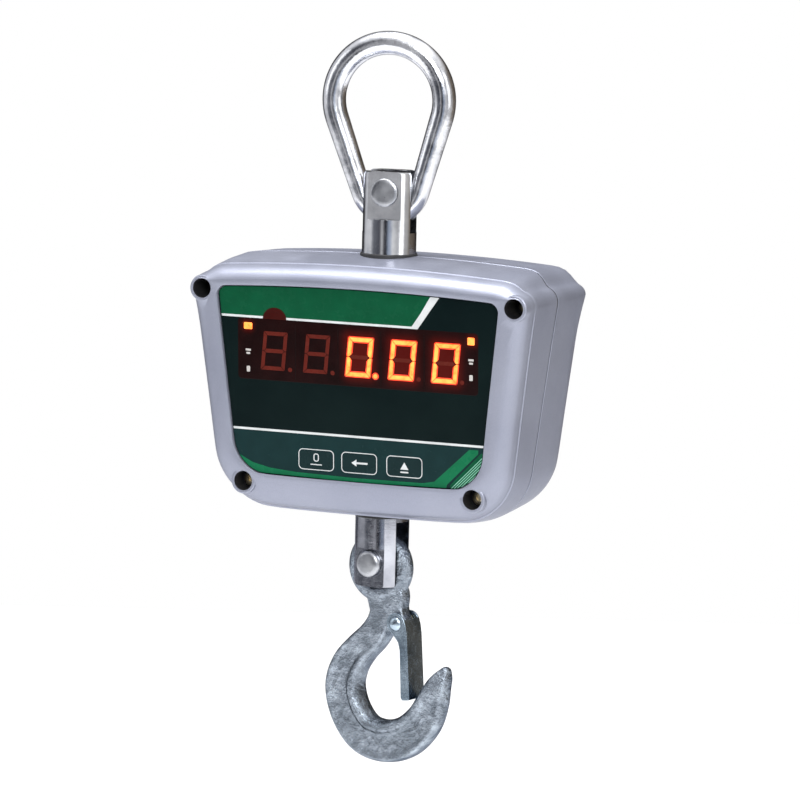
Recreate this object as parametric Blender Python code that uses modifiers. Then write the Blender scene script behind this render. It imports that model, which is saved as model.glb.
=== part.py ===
"""Hanging crane scale: a suspension ring, a two-shell case round an S-shaped load cell, and a latched hook.

Metres, +Z up, front towards -Y. The origin is the ring's bearing point, the inside of its crown, where the
scale hangs. Everything below the ring is placed from the case's centre, which lies on the load line.
The display parts are placed in a frame that leans with the case's front face.
"""

import math

import bmesh
import bpy
from mathutils import Vector

# ---- load line ----
RING_REACH = 0.0656          # bearing point to upper pin axis
RING_LEAN = math.radians(2.3)
UPPER_TURN = math.radians(7)     # ring and upper fork, about the load line
LOWER_TURN = math.radians(-11)   # hook and lower fork
UPPER_PIN_Z = 0.095
LOWER_PIN_Z = -0.085
GAP = 0.0003

# ---- ring ----
RING_CROWN_RADIUS = 0.0275
RING_FOOT_RADIUS = 0.015
RING_CROWN_WIRE = 0.0057
RING_FOOT_WIRE = 0.0050

# ---- forks and pins ----
BARREL_RADIUS = 0.0131
BARREL_OPENING = 0.0150      # radius of the case's openings round the barrels
SLOT_WIDTH = 0.0110
FLAT_OFFSET = 0.0101
PIN_RADIUS = 0.0060
CLIP_RADIUS = 0.0070
STUD_RADIUS = 0.0060
FORK_TOP_Z = 0.105
FORK_BOTTOM_Z = -0.0965
UPPER_SLOT_Z = 0.0755
LOWER_SLOT_Z = -0.0645
UPPER_FLAT_Z = 0.0820
LOWER_FLAT_Z = -0.0775
PIN_HEAD_RADIUS = 0.0067
NUT_HEIGHT = 0.0090
BARREL_INNER_Z = 0.047
STUD_END_Z = 0.017

# ---- load cell and bracket ----
CELL_HALF = (0.025, 0.0075, 0.030)
CELL_SCREW_X = 0.0150
CELL_SLOT_Z = 0.0125          # the two slots that make the block S-shaped
CELL_SLOT_HALF = 0.0012
POST_X = 0.0450
BRACKET_Z = 0.0225
SCREW_CLEARANCE = 0.0023      # radius of the holes the bracket screws pass through
BRACKET_FRONT = CELL_HALF[1] + GAP
BRACKET_BACK = BRACKET_FRONT + 0.0020

# ---- case ----
FRONT_Y = -0.0359
FRONT_LEAN = math.atan(0.0673)
BACK_Y = 0.046
PARTING = 0.0007             # half the width of the parting gap
WALL = 0.0026
SIDE_AT_CENTRE = 0.0820      # half width at the case's centre height
SIDE_SLOPE = 0.13            # half width gained per metre of height
CROWN_SAG = 0.51             # 1/m: how fast the top edge falls away from the middle
CORNER_RADIUS = 0.030
TOP_SCREW = (0.0809, 0.0464)
BOTTOM_SCREW = (0.0598, -0.0464)
SCREW_RECESS_RADIUS = 0.00475
SCREW_HEAD_Y = -0.0220
SOCKET = (0.0560, -0.0350)
COVER_SCREW_X = 0.0355

# ---- display stack: depths behind the front face ----
OVERLAY_FRONT = 0.0015
OVERLAY_BACK = 0.0023
RECESS_FLOOR = 0.0026
WALL_BACK = 0.0052
BOARD_FRONT = 0.0140
BOARD_BACK = 0.0156
DIGIT_PITCH = 0.0228
WINDOW_HALF = (0.0625, 0.0150)
WINDOW_Z = 0.0185
DIGIT_Z = 0.0180
KEY_X = (-0.0215, 0.0010, 0.0245)
KEY_Z = -0.0335
KEY_HALF = (0.0094, 0.0052)
SWITCH_HALF = 0.0030
BOARD_SCREWS = [(-0.0630, 0.0390), (0.0630, 0.0390), (-0.0480, -0.0290), (0.0480, -0.0290)]
RECEIVER = (-0.0430, 0.0365)
CELL_PLUG_X = 0.0480
BATTERY_PLUG_X = -0.0480

# ---- hook, in its own plane, from the lower pin ----
EYE_RADIUS = 0.0134
EYE_WIRE = 0.0046
EYE_Z = PIN_RADIUS + GAP - (EYE_RADIUS - EYE_WIRE)
LATCH_PIVOT = (0.0135, -0.0285)
LUG_RADIUS = 0.0042
LUG_HALF = 0.0036
LATCH_PIN_RADIUS = 0.0020
# Outline of the thick web between the eye and the latch pivot
LUG_SHOULDER = [
    (-0.0060, -0.0150), (0.0120, -0.0100), (0.0155, -0.0140), (0.0150, -0.0210), (0.0160, -0.0260),
    (0.0160, -0.0305), (0.0120, -0.0330), (0.0030, -0.0330),
]
LATCH_LENGTH = 0.0375
LATCH_TILT = math.radians(7.0)
LATCH_HALF = 0.0068
LATCH_SHEET = 0.0013
SPRING_RADIUS = 0.0031
SPRING_WIRE = 0.0003
SPRING_PITCH = 0.0008
SPRING_START = 0.0039
# Centre line from the eye to the tip: (x, z, half width, half depth), from the lower pin
HOOK_LINE = [
    (0.0025, -0.0165, 0.0066, 0.0040),
    (0.0030, -0.0230, 0.0072, 0.0045),
    (0.0015, -0.0300, 0.0075, 0.0052),
    (-0.0030, -0.0370, 0.0078, 0.0057),
    (-0.0100, -0.0440, 0.0082, 0.0060),
    (-0.0165, -0.0525, 0.0092, 0.0062),
    (-0.0195, -0.0630, 0.0100, 0.0064),
    (-0.0160, -0.0755, 0.0102, 0.0066),
    (-0.0070, -0.0855, 0.0104, 0.0066),
    (0.0055, -0.0880, 0.0105, 0.0066),
    (0.0175, -0.0845, 0.0103, 0.0064),
    (0.0272, -0.0755, 0.0094, 0.0060),
    (0.0322, -0.0655, 0.0080, 0.0055),
    (0.0350, -0.0580, 0.0062, 0.0048),
    (0.0378, -0.0525, 0.0042, 0.0040),
    (0.0396, -0.0487, 0.0020, 0.0026),
]

MATERIALS = {
    "galvanised": ((0.60, 0.61, 0.63), 1.0, 0.34),
    "chrome": ((0.78, 0.79, 0.80), 1.0, 0.12),
    "zinc": ((0.58, 0.64, 0.68), 1.0, 0.30),
    "case_paint": ((0.56, 0.57, 0.64), 0.45, 0.36),
    "rubber": ((0.03, 0.03, 0.035), 0.0, 0.75),
    "overlay": ((0.012, 0.045, 0.042), 0.0, 0.22),
    "window": ((0.05, 0.008, 0.008), 0.0, 0.12),
    "led": ((0.95, 0.35, 0.12), 0.0, 0.35),
    "board": ((0.02, 0.22, 0.09), 0.0, 0.45),
    "plastic": ((0.03, 0.03, 0.035), 0.0, 0.5),
    "screw_steel": ((0.62, 0.55, 0.42), 1.0, 0.32),
    "aluminium": ((0.72, 0.73, 0.74), 1.0, 0.35),
    "battery_wrap": ((0.05, 0.16, 0.42), 0.0, 0.4),
    "cable": ((0.10, 0.10, 0.11), 0.0, 0.55),
}


# ---------------------------------------------------------------- scene set-up
def fresh_collection(name):
    collection = bpy.data.collections.new(name)
    bpy.context.scene.collection.children.link(collection)
    return collection


for old in list(bpy.data.objects):
    bpy.data.objects.remove(old, do_unlink=True)
PARTS = fresh_collection("crane_scale")
CUTTERS = fresh_collection("cutters")


def make_material(name):
    colour, metallic, roughness = MATERIALS[name]
    material = bpy.data.materials.new(name)
    material.use_nodes = True
    shader = material.node_tree.nodes["Principled BSDF"]
    shader.inputs["Base Color"].default_value = (*colour, 1.0)
    shader.inputs["Metallic"].default_value = metallic
    shader.inputs["Roughness"].default_value = roughness
    return material


SHADES = {name: make_material(name) for name in MATERIALS}


def make_empty(name, location, turn=(0, 0, 0), parent=None):
    empty = bpy.data.objects.new(name, None)
    PARTS.objects.link(empty)
    empty.parent = parent
    empty.location = location
    empty.rotation_euler = turn
    return empty


def finish(obj, shade, parent, location=(0, 0, 0)):
    """Gives a new object its material, place and parent."""
    obj.data.materials.append(SHADES[shade])
    obj.parent = parent
    obj.location = location
    PARTS.objects.link(obj)
    return obj


def mesh_object(name, build):
    """A new object whose mesh the function build fills."""
    mesh = bpy.data.meshes.new(name)
    form = bmesh.new()
    build(form)
    bmesh.ops.recalc_face_normals(form, faces=form.faces)
    form.to_mesh(mesh)
    form.free()
    return bpy.data.objects.new(name, mesh)


def as_tool(obj, parent, location=(0, 0, 0)):
    """Turns an object into a hidden cutter or joining shape."""
    obj.parent = parent
    obj.location = location
    obj.hide_render = True
    obj.display_type = "WIRE"
    CUTTERS.objects.link(obj)
    return obj


def combine(target, tool, operation):
    modifier = target.modifiers.new(operation.lower(), "BOOLEAN")
    modifier.operation = operation
    modifier.solver = "EXACT"
    modifier.object = tool


def cut(target, *tools):
    for tool in tools:
        combine(target, tool, "DIFFERENCE")


def join(target, *tools):
    for tool in tools:
        combine(target, tool, "UNION")


def round_edges(obj, width, segments=1, angle=35):
    modifier = obj.modifiers.new("round_edges", "BEVEL")
    modifier.width = width
    modifier.segments = segments
    modifier.limit_method = "ANGLE"
    modifier.angle_limit = math.radians(angle)


# ---------------------------------------------------------------- basic shapes
def box(name, low, high):
    """An axis-aligned block between two corners."""
    def build(form):
        bmesh.ops.create_cube(form, size=1.0)
        for vertex in form.verts:
            vertex.co = Vector(
                low[i] + (vertex.co[i] + 0.5) * (high[i] - low[i]) for i in range(3)
            )
    return mesh_object(name, build)


def rod(name, radius, start, end, sides=16, end_radius=None):
    """A round bar or cone between two points."""
    start, end = Vector(start), Vector(end)
    along = end - start

    def build(form):
        bmesh.ops.create_cone(
            form, cap_ends=True, segments=sides, radius1=radius,
            radius2=radius if end_radius is None else end_radius, depth=along.length,
        )
        turn = Vector((0, 0, 1)).rotation_difference(along).to_matrix()
        bmesh.ops.rotate(form, verts=form.verts, matrix=turn)
        bmesh.ops.translate(form, verts=form.verts, vec=(start + end) / 2)
    return mesh_object(name, build)


def turned(name, profile, steps=20):
    """A lathe shape about local Z from (radius, height) points that run down the outer side."""
    mesh = bpy.data.meshes.new(name)
    form = bmesh.new()
    corners = [form.verts.new((radius, 0, height)) for radius, height in profile]
    for a, b in zip(corners, corners[1:]):
        form.edges.new((a, b))
    form.to_mesh(mesh)
    form.free()
    obj = bpy.data.objects.new(name, mesh)
    screw = obj.modifiers.new("lathe", "SCREW")
    screw.axis = "Z"
    screw.steps = steps
    screw.render_steps = steps
    screw.use_merge_vertices = True
    screw.merge_threshold = 0.00002
    screw.use_smooth_shade = True
    return obj


def turned_ring(name, inner, outer, low, high, steps=28):
    """A flat-sided ring about local Z."""
    profile = [(inner, high), (outer, high), (outer, low), (inner, low), (inner, high)]
    return turned(name, profile, steps)


def plate(name, outline, y_near, y_far):
    """A flat piece: an outline in X and Z, filled and given thickness along Y."""
    curve = bpy.data.curves.new(name, "CURVE")
    curve.dimensions = "2D"
    curve.fill_mode = "BOTH"
    curve.extrude = abs(y_far - y_near) / 2
    spline = curve.splines.new("POLY")
    spline.points.add(len(outline) - 1)
    for point, (x, z) in zip(spline.points, outline):
        point.co = (x, z, 0, 1)
    spline.use_cyclic_u = True
    flat = bpy.data.objects.new(name, curve)
    bpy.context.scene.collection.objects.link(flat)
    flat.rotation_euler = (math.pi / 2, 0, 0)
    flat.location = (0, (y_near + y_far) / 2, 0)
    bpy.context.view_layer.update()
    evaluated = flat.evaluated_get(bpy.context.evaluated_depsgraph_get())
    mesh = bpy.data.meshes.new_from_object(evaluated)
    mesh.transform(flat.matrix_world)
    bpy.data.objects.remove(flat, do_unlink=True)
    form = bmesh.new()
    form.from_mesh(mesh)
    bmesh.ops.remove_doubles(form, verts=form.verts, dist=0.00001)
    bmesh.ops.recalc_face_normals(form, faces=form.faces)
    form.to_mesh(mesh)
    form.free()
    mesh.name = name
    return bpy.data.objects.new(name, mesh)


def loft(name, sections):
    """A skin over closed rings of points that all have the same count."""
    def build(form):
        rings = [[form.verts.new(point) for point in ring] for ring in sections]
        count = len(rings[0])
        for near, far in zip(rings, rings[1:]):
            for i in range(count):
                j = (i + 1) % count
                form.faces.new((near[i], near[j], far[j], far[i]))
        form.faces.new(rings[0])
        form.faces.new(rings[-1])
        bmesh.ops.recalc_face_normals(form, faces=form.faces)
        bmesh.ops.triangulate(form, faces=form.faces)
    return mesh_object(name, build)


def tube(name, points, radius, resolution=2, radii=None, cyclic=False):
    """A wire or cable through the points."""
    curve = bpy.data.curves.new(name, "CURVE")
    curve.dimensions = "3D"
    curve.bevel_depth = radius
    curve.bevel_resolution = resolution
    curve.use_fill_caps = not cyclic
    spline = curve.splines.new("POLY")
    spline.points.add(len(points) - 1)
    for i, place in enumerate(points):
        spline.points[i].co = (*place, 1)
        spline.points[i].radius = radii[i] / radius if radii else 1.0
    spline.use_cyclic_u = cyclic
    return bpy.data.objects.new(name, curve)


def smooth_path(knots, per_span):
    """Points along a Catmull-Rom curve through the knots."""
    knots = [Vector(k) for k in knots]
    ends = [2 * knots[0] - knots[1]] + knots + [2 * knots[-1] - knots[-2]]
    path = []
    for a, b, c, d in zip(ends, ends[1:], ends[2:], ends[3:]):
        for step in range(per_span):
            t = step / per_span
            path.append(0.5 * (
                2 * b + (c - a) * t + (2 * a - 5 * b + 4 * c - d) * t ** 2
                + (3 * b - a - 3 * c + d) * t ** 3
            ))
    path.append(knots[-1])
    return path


def rounded_rectangle(centre, half, radius, per_corner=3):
    """The corners of a rectangle with round corners, anticlockwise."""
    outline = []
    for quarter, (sx, sz) in enumerate(((1, 1), (-1, 1), (-1, -1), (1, -1))):
        for step in range(per_corner + 1):
            angle = math.pi / 2 * (quarter + step / per_corner)
            outline.append((
                centre[0] + sx * (half[0] - radius) + radius * math.cos(angle),
                centre[1] + sz * (half[1] - radius) + radius * math.sin(angle),
            ))
    return outline


# ---------------------------------------------------------------- frames
PIN_POINT = Vector((
    RING_REACH * math.sin(RING_LEAN) * math.cos(UPPER_TURN),
    RING_REACH * math.sin(RING_LEAN) * math.sin(UPPER_TURN),
    -RING_REACH * math.cos(RING_LEAN),
))
CENTRE = make_empty("case_centre", PIN_POINT - Vector((0, 0, UPPER_PIN_Z)))
UPPER = make_empty("upper_fork_axis", (0, 0, UPPER_PIN_Z), (0, 0, UPPER_TURN), CENTRE)
LOWER = make_empty("lower_fork_axis", (0, 0, LOWER_PIN_Z), (0, 0, LOWER_TURN), CENTRE)
PANEL = make_empty("panel_frame", (0, FRONT_Y, 0), (FRONT_LEAN, 0, 0), CENTRE)
RING_FRAME = make_empty("ring_axis", PIN_POINT, (0, -RING_LEAN, UPPER_TURN))
LATCH_FRAME = make_empty("latch_axis", (LATCH_PIVOT[0], 0, LATCH_PIVOT[1]), parent=LOWER)


# ---------------------------------------------------------------- suspension ring
def ring_centre_line():
    """A large arc over a small one, joined by straight flanks, with the wire thinner towards the foot."""
    foot_z = RING_FOOT_RADIUS - PIN_RADIUS - GAP - RING_FOOT_WIRE
    crown_z = RING_REACH + RING_CROWN_WIRE - RING_CROWN_RADIUS
    lean = math.asin((RING_CROWN_RADIUS - RING_FOOT_RADIUS) / (crown_z - foot_z))
    points, radii = [], []

    def add_arc(centre, radius, first, last, count, wire):
        for step in range(count + 1):
            angle = first + (last - first) * step / count
            points.append((radius * math.cos(angle), 0, centre + radius * math.sin(angle)))
            radii.append(wire)

    def add_flank(share_from, share_to):
        start, end = Vector(points[-1]), share_to
        for share in (0.33, 0.67):
            points.append(tuple(start.lerp(end, share)))
            radii.append(share_from + (RING_CROWN_WIRE + RING_FOOT_WIRE - 2 * share_from) * share)

    add_arc(crown_z, RING_CROWN_RADIUS, -lean, math.pi + lean, 20, RING_CROWN_WIRE)
    foot_left = Vector((-RING_FOOT_RADIUS * math.cos(lean), 0, foot_z - RING_FOOT_RADIUS * math.sin(lean)))
    add_flank(RING_CROWN_WIRE, foot_left)
    add_arc(foot_z, RING_FOOT_RADIUS, math.pi + lean, 2 * math.pi - lean, 12, RING_FOOT_WIRE)
    add_flank(RING_FOOT_WIRE, Vector(points[0]))
    return points, radii


def make_ring():
    points, radii = ring_centre_line()
    ring = tube("suspension_ring", points, RING_CROWN_WIRE, 2, radii, cyclic=True)
    finish(ring, "galvanised", RING_FRAME)


# ---------------------------------------------------------------- forks, pins and clips
def make_fork(name, frame, open_end, closed_z, flat_end, stud_top, stud_end):
    """A round barrel with a fork at one end and a threaded stud at the other, heights from the pin axis."""
    fork = rod(name, BARREL_RADIUS, (0, 0, stud_top), (0, 0, open_end), 28)
    round_edges(fork, 0.0008)
    stud = rod(name + "_stud", STUD_RADIUS, (0, 0, stud_top), (0, 0, stud_end), 16)
    overlap = 0.002 if stud_top > stud_end else -0.002
    as_tool(stud, frame, (0, 0, overlap))
    join(fork, stud)
    beyond = math.copysign(0.004, open_end)
    slot_z = sorted((closed_z, open_end + beyond))
    slot = box(
        name + "_slot",
        (-0.02, -SLOT_WIDTH / 2, slot_z[0]), (0.02, SLOT_WIDTH / 2, slot_z[1]),
    )
    cut(fork, as_tool(slot, frame))
    flat_z = sorted((flat_end, open_end + beyond))
    for side in (-1, 1):
        low_y, high_y = sorted((side * FLAT_OFFSET, side * 0.02))
        flat = box(name + "_flat", (-0.02, low_y, flat_z[0]), (0.02, high_y, flat_z[1]))
        cut(fork, as_tool(flat, frame))
    bore = rod(name + "_bore", PIN_RADIUS + GAP, (0, -0.03, 0), (0, 0.03, 0), 20)
    cut(fork, as_tool(bore, frame))
    finish(fork, "chrome", frame)


def make_pin(name, frame, head_height, head_radius):
    """A headed pin with a clip groove near its far end, turned about its own axis along Y."""
    head_face = FLAT_OFFSET + GAP
    groove = FLAT_OFFSET + 0.0006
    tip = FLAT_OFFSET + 0.0038
    profile = [
        (0, head_face + head_height), (head_radius * 0.72, head_face + head_height),
        (head_radius, head_face + head_height * 0.55), (head_radius, head_face),
        (PIN_RADIUS, head_face), (PIN_RADIUS, -groove), (0.0048, -groove),
        (0.0048, -groove - 0.0014), (PIN_RADIUS, -groove - 0.0014),
        (PIN_RADIUS, -tip + 0.0006), (PIN_RADIUS - 0.0006, -tip), (0, -tip),
    ]
    pin = turned(name, profile, 20)
    finish(pin, "galvanised", frame)
    pin.rotation_euler = (math.pi / 2, 0, 0)
    clip = turned_ring(name + "_clip", 0.0051, CLIP_RADIUS, -groove - 0.0012, -groove - 0.0002, 18)
    mouth = box(name + "_mouth", (-0.0030, -0.012, -groove - 0.004), (0.0030, 0, -groove + 0.004))
    finish(clip, "screw_steel", frame)
    clip.rotation_euler = (math.pi / 2, 0, 0)
    as_tool(mouth, frame).rotation_euler = (math.pi / 2, 0, 0)
    cut(clip, mouth)


def make_lock_nut(name, low_z):
    nut = rod(name, 0.0108, (0, 0, low_z), (0, 0, low_z + NUT_HEIGHT), 6)
    hole = rod(name + "_hole", STUD_RADIUS + GAP, (0, 0, low_z - 0.01), (0, 0, low_z + 0.02), 16)
    cut(nut, as_tool(hole, CENTRE))
    finish(nut, "screw_steel", CENTRE)


def make_load_line():
    make_fork(
        "upper_clevis", UPPER,
        FORK_TOP_Z - UPPER_PIN_Z, UPPER_SLOT_Z - UPPER_PIN_Z, UPPER_FLAT_Z - UPPER_PIN_Z,
        BARREL_INNER_Z - UPPER_PIN_Z, STUD_END_Z - UPPER_PIN_Z,
    )
    make_fork(
        "lower_clevis", LOWER,
        FORK_BOTTOM_Z - LOWER_PIN_Z, LOWER_SLOT_Z - LOWER_PIN_Z, LOWER_FLAT_Z - LOWER_PIN_Z,
        -BARREL_INNER_Z - LOWER_PIN_Z, -STUD_END_Z - LOWER_PIN_Z,
    )
    make_pin("upper_pin", UPPER, 0.0012, PIN_HEAD_RADIUS)
    make_pin("lower_pin", LOWER, 0.0030, PIN_HEAD_RADIUS)
    make_lock_nut("upper_lock_nut", CELL_HALF[2] + 0.0008)
    make_lock_nut("lower_lock_nut", -CELL_HALF[2] - 0.0008 - NUT_HEIGHT)


# ---------------------------------------------------------------- load cell and its bracket
def make_screw(name, frame, head_face, tip, across=0.0070, shank=0.0020, at=(0, 0), shade="screw_steel"):
    """A pan-head screw along Y whose head's underside is at head_face and whose tip is at tip."""
    way = 1 if tip > head_face else -1
    top = head_face - way * 0.0024
    head = rod(name, across / 2 * 0.82, (0, top, 0), (0, head_face, 0), 14, across / 2)
    socket = rod(name + "_socket", 0.0014, (0, top - way * 0.001, 0), (0, top + way * 0.0013, 0), 6)
    body = rod(name + "_shank", shank, (0, head_face - way * 0.0005, 0), (0, tip, 0), 10)
    place = (at[0], 0, at[1])
    join(head, as_tool(body, frame, place))
    cut(head, as_tool(socket, frame, place))
    finish(head, shade, frame, place)


def make_load_cell():
    cell = box("load_cell", [-h for h in CELL_HALF], CELL_HALF)
    round_edges(cell, 0.0008)
    for side in (-1, 1):
        ends = sorted((side * 0.0135, side * -0.030))
        slot_z = side * CELL_SLOT_Z
        slot = box(
            "cell_slot",
            (ends[0], -0.02, slot_z - CELL_SLOT_HALF),
            (ends[1], 0.02, slot_z + CELL_SLOT_HALF),
        )
        thread = rod("cell_thread", STUD_RADIUS + GAP, (0, 0, side * 0.0155), (0, 0, side * 0.04), 16)
        cut(cell, as_tool(slot, CENTRE), as_tool(thread, CENTRE))
        screw_x = side * CELL_SCREW_X
        screw_hole = rod(
            "cell_screw_hole", SCREW_CLEARANCE, (screw_x, -0.003, BRACKET_Z), (screw_x, 0.02, BRACKET_Z), 10,
        )
        cut(cell, as_tool(screw_hole, CENTRE))
    for x in (-0.0062, 0.0062):
        gauge_hole = rod("gauge_hole", 0.0060, (x, -0.02, 0), (x, 0.02, 0), 20)
        cut(cell, as_tool(gauge_hole, CENTRE))
    finish(cell, "aluminium", CENTRE)


def make_bracket():
    bracket = box("cell_bracket", (-0.0525, BRACKET_FRONT, 0.0150), (0.0525, BRACKET_BACK, 0.0298))
    for x in (-POST_X, -CELL_SCREW_X, CELL_SCREW_X, POST_X):
        hole = rod("bracket_hole", SCREW_CLEARANCE, (x, 0, BRACKET_Z), (x, 0.02, BRACKET_Z), 10)
        cut(bracket, as_tool(hole, CENTRE))
    finish(bracket, "zinc", CENTRE)
    for side, word in ((-1, "left"), (1, "right")):
        cell_place = (side * CELL_SCREW_X, BRACKET_Z)
        post_place = (side * POST_X, BRACKET_Z)
        make_screw("cell_screw_" + word, CENTRE, BRACKET_BACK + GAP, -0.0015, at=cell_place)
        make_screw("bracket_screw_" + word, CENTRE, BRACKET_FRONT - GAP, 0.0190, at=post_place)


# ---------------------------------------------------------------- case shells
def side_at(z):
    return SIDE_AT_CENTRE + SIDE_SLOPE * z


def case_outline(top, bottom, inset=0.0, corner_inset=0.0):
    """The case at one depth: a crowned top, cut corners with bosses, sloping sides and a round foot."""
    half = []
    for step in range(6):
        x = 0.0770 * step / 5 - inset * 0.6 * step / 5
        half.append((x, top - CROWN_SAG * x ** 2))
    boss_radius = 0.0076 - (inset - corner_inset)
    boss = [
        (0.0806 + boss_radius * math.cos(math.radians(a)), 0.0466 + boss_radius * math.sin(math.radians(a)))
        for a in (75, 45, 15, -10)
    ]
    half.append(((half[-1][0] + boss[0][0]) / 2, (half[-1][1] + boss[0][1]) / 2 - 0.0010))
    half.extend(boss)
    for z in (0.030, 0.010, -0.012):
        half.append((side_at(z) - inset, z))
    foot_x = side_at(bottom + CORNER_RADIUS) - CORNER_RADIUS
    foot_z = bottom + CORNER_RADIUS
    radius = CORNER_RADIUS - inset
    for step in range(6):
        angle = -math.radians(5) - math.radians(80) * step / 5
        half.append((foot_x + radius * math.cos(angle), foot_z + radius * math.sin(angle)))
    half.append((0.025, bottom + inset - 0.0003))
    left = [(-x, z) for x, z in reversed(half[1:])]
    return half + [(0, bottom + inset - 0.0005)] + left


def on_front_plane(outline, depth):
    """Places an outline parallel to the leaning front face, the given depth behind it."""
    return [(x, FRONT_Y - math.tan(FRONT_LEAN) * z + depth, z) for x, z in outline]


def upright(outline, y):
    return [(x, y, z) for x, z in outline]


def panel_outline(grow=0.0):
    """The display panel's outline: a crowned top, sloping sides and a round foot."""
    half = []
    top, bottom, slope, foot, corner = 0.0505, -0.0430, 0.1125, 0.0190, 0.0050
    for step in range(5):
        x = 0.0670 * step / 4
        half.append((x, top + grow - 0.42 * x ** 2))
    side_top = 0.0680 + slope * 0.0430 + grow
    for degrees in (60, 30, 0):
        angle = math.radians(degrees)
        half.append((
            side_top - corner + corner * math.cos(angle),
            0.0436 + (corner + grow) * math.sin(angle),
        ))
    half.append((0.0680 + grow, 0.0))
    foot_z = bottom + foot
    foot_x = 0.0680 + slope * foot_z - foot
    for step in range(6):
        angle = -math.radians(88) * step / 5
        half.append((foot_x + (foot + grow) * math.cos(angle), foot_z + (foot + grow) * math.sin(angle)))
    left = [(-x, z) for x, z in reversed(half[1:])]
    return half + [(0, bottom - grow - 0.0006)] + left


def screw_places():
    return [(side * x, z) for x, z in (TOP_SCREW, BOTTOM_SCREW) for side in (-1, 1)]


def front_depth(z, depth):
    """The Y of a point at height z, the given depth behind the front face."""
    return FRONT_Y - math.tan(FRONT_LEAN) * z + depth


def make_front_shell():
    sections = [
        upright(case_outline(0.0645, -0.0618, 0.0), -PARTING),
        upright(case_outline(0.0632, -0.0606, 0.0), -0.0160),
        on_front_plane(case_outline(0.0605, -0.0592, 0.0), 0.0085),
        on_front_plane(case_outline(0.0585, -0.0578, 0.0014, 0.0006), 0.0040),
        on_front_plane(case_outline(0.0560, -0.0545, 0.0045, 0.0026), 0.0008),
        on_front_plane(case_outline(0.0550, -0.0530, 0.0062, 0.0038), 0.0),
    ]
    shell = loft("front_shell", sections)
    cavity = loft("front_cavity", [
        upright(case_outline(0.0645 - WALL, -0.0618, WALL), 0.0020),
        upright(case_outline(0.0632 - WALL, -0.0606, WALL), -0.0160),
        on_front_plane(case_outline(0.0605 - WALL, -0.0592, WALL), 0.0085),
        on_front_plane(case_outline(0.0575 - WALL, -0.0568, WALL + 0.0030, 0.0012), 0.0034),
    ])
    cut(shell, as_tool(cavity, CENTRE))
    backing = plate("panel_backing", panel_outline(0.0025), 0.0012, WALL_BACK)
    join(shell, as_tool(backing, PANEL))
    for x, z in screw_places():
        boss = rod("screw_boss", 0.0068, (x, front_depth(z, 0.0016), z), (x, -PARTING - 0.0005, z), 16)
        join(shell, as_tool(boss, CENTRE))
    for x, z in BOARD_SCREWS:
        post = rod("board_post", 0.0030, (x, WALL_BACK - 0.001, z), (x, BOARD_FRONT - GAP, z), 10)
        join(shell, as_tool(post, PANEL))
    for x, z in screw_places():
        recess = rod("screw_recess", SCREW_RECESS_RADIUS, (x, -0.06, z), (x, SCREW_HEAD_Y + GAP, z), 20)
        clearance = rod("screw_clearance", 0.0023, (x, -0.03, z), (x, 0.01, z), 10)
        cut(shell, as_tool(recess, CENTRE), as_tool(clearance, CENTRE))
    floor = plate("panel_recess", panel_outline(0.0), -0.01, RECESS_FLOOR)
    opening = window_tool("window_opening", GAP, -0.01, 0.02)
    cut(shell, as_tool(floor, PANEL), opening)
    for x in KEY_X:
        half = (KEY_HALF[0] + 0.0011, KEY_HALF[1] + 0.0011)
        key_hole = plate("key_hole", rounded_rectangle((x, KEY_Z), half, 0.0025), 0.0, 0.02)
        cut(shell, as_tool(key_hole, PANEL))
    for x, z in BOARD_SCREWS:
        pilot = rod("board_pilot", 0.0014, (x, WALL_BACK + 0.0012, z), (x, BOARD_BACK, z), 8)
        cut(shell, as_tool(pilot, PANEL))
    for z in (0.08, -0.08):
        barrel = rod("barrel_opening", BARREL_OPENING, (0, 0, z * 0.4), (0, 0, z), 28)
        cut(shell, as_tool(barrel, CENTRE))
    finish(shell, "case_paint", CENTRE)


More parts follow.
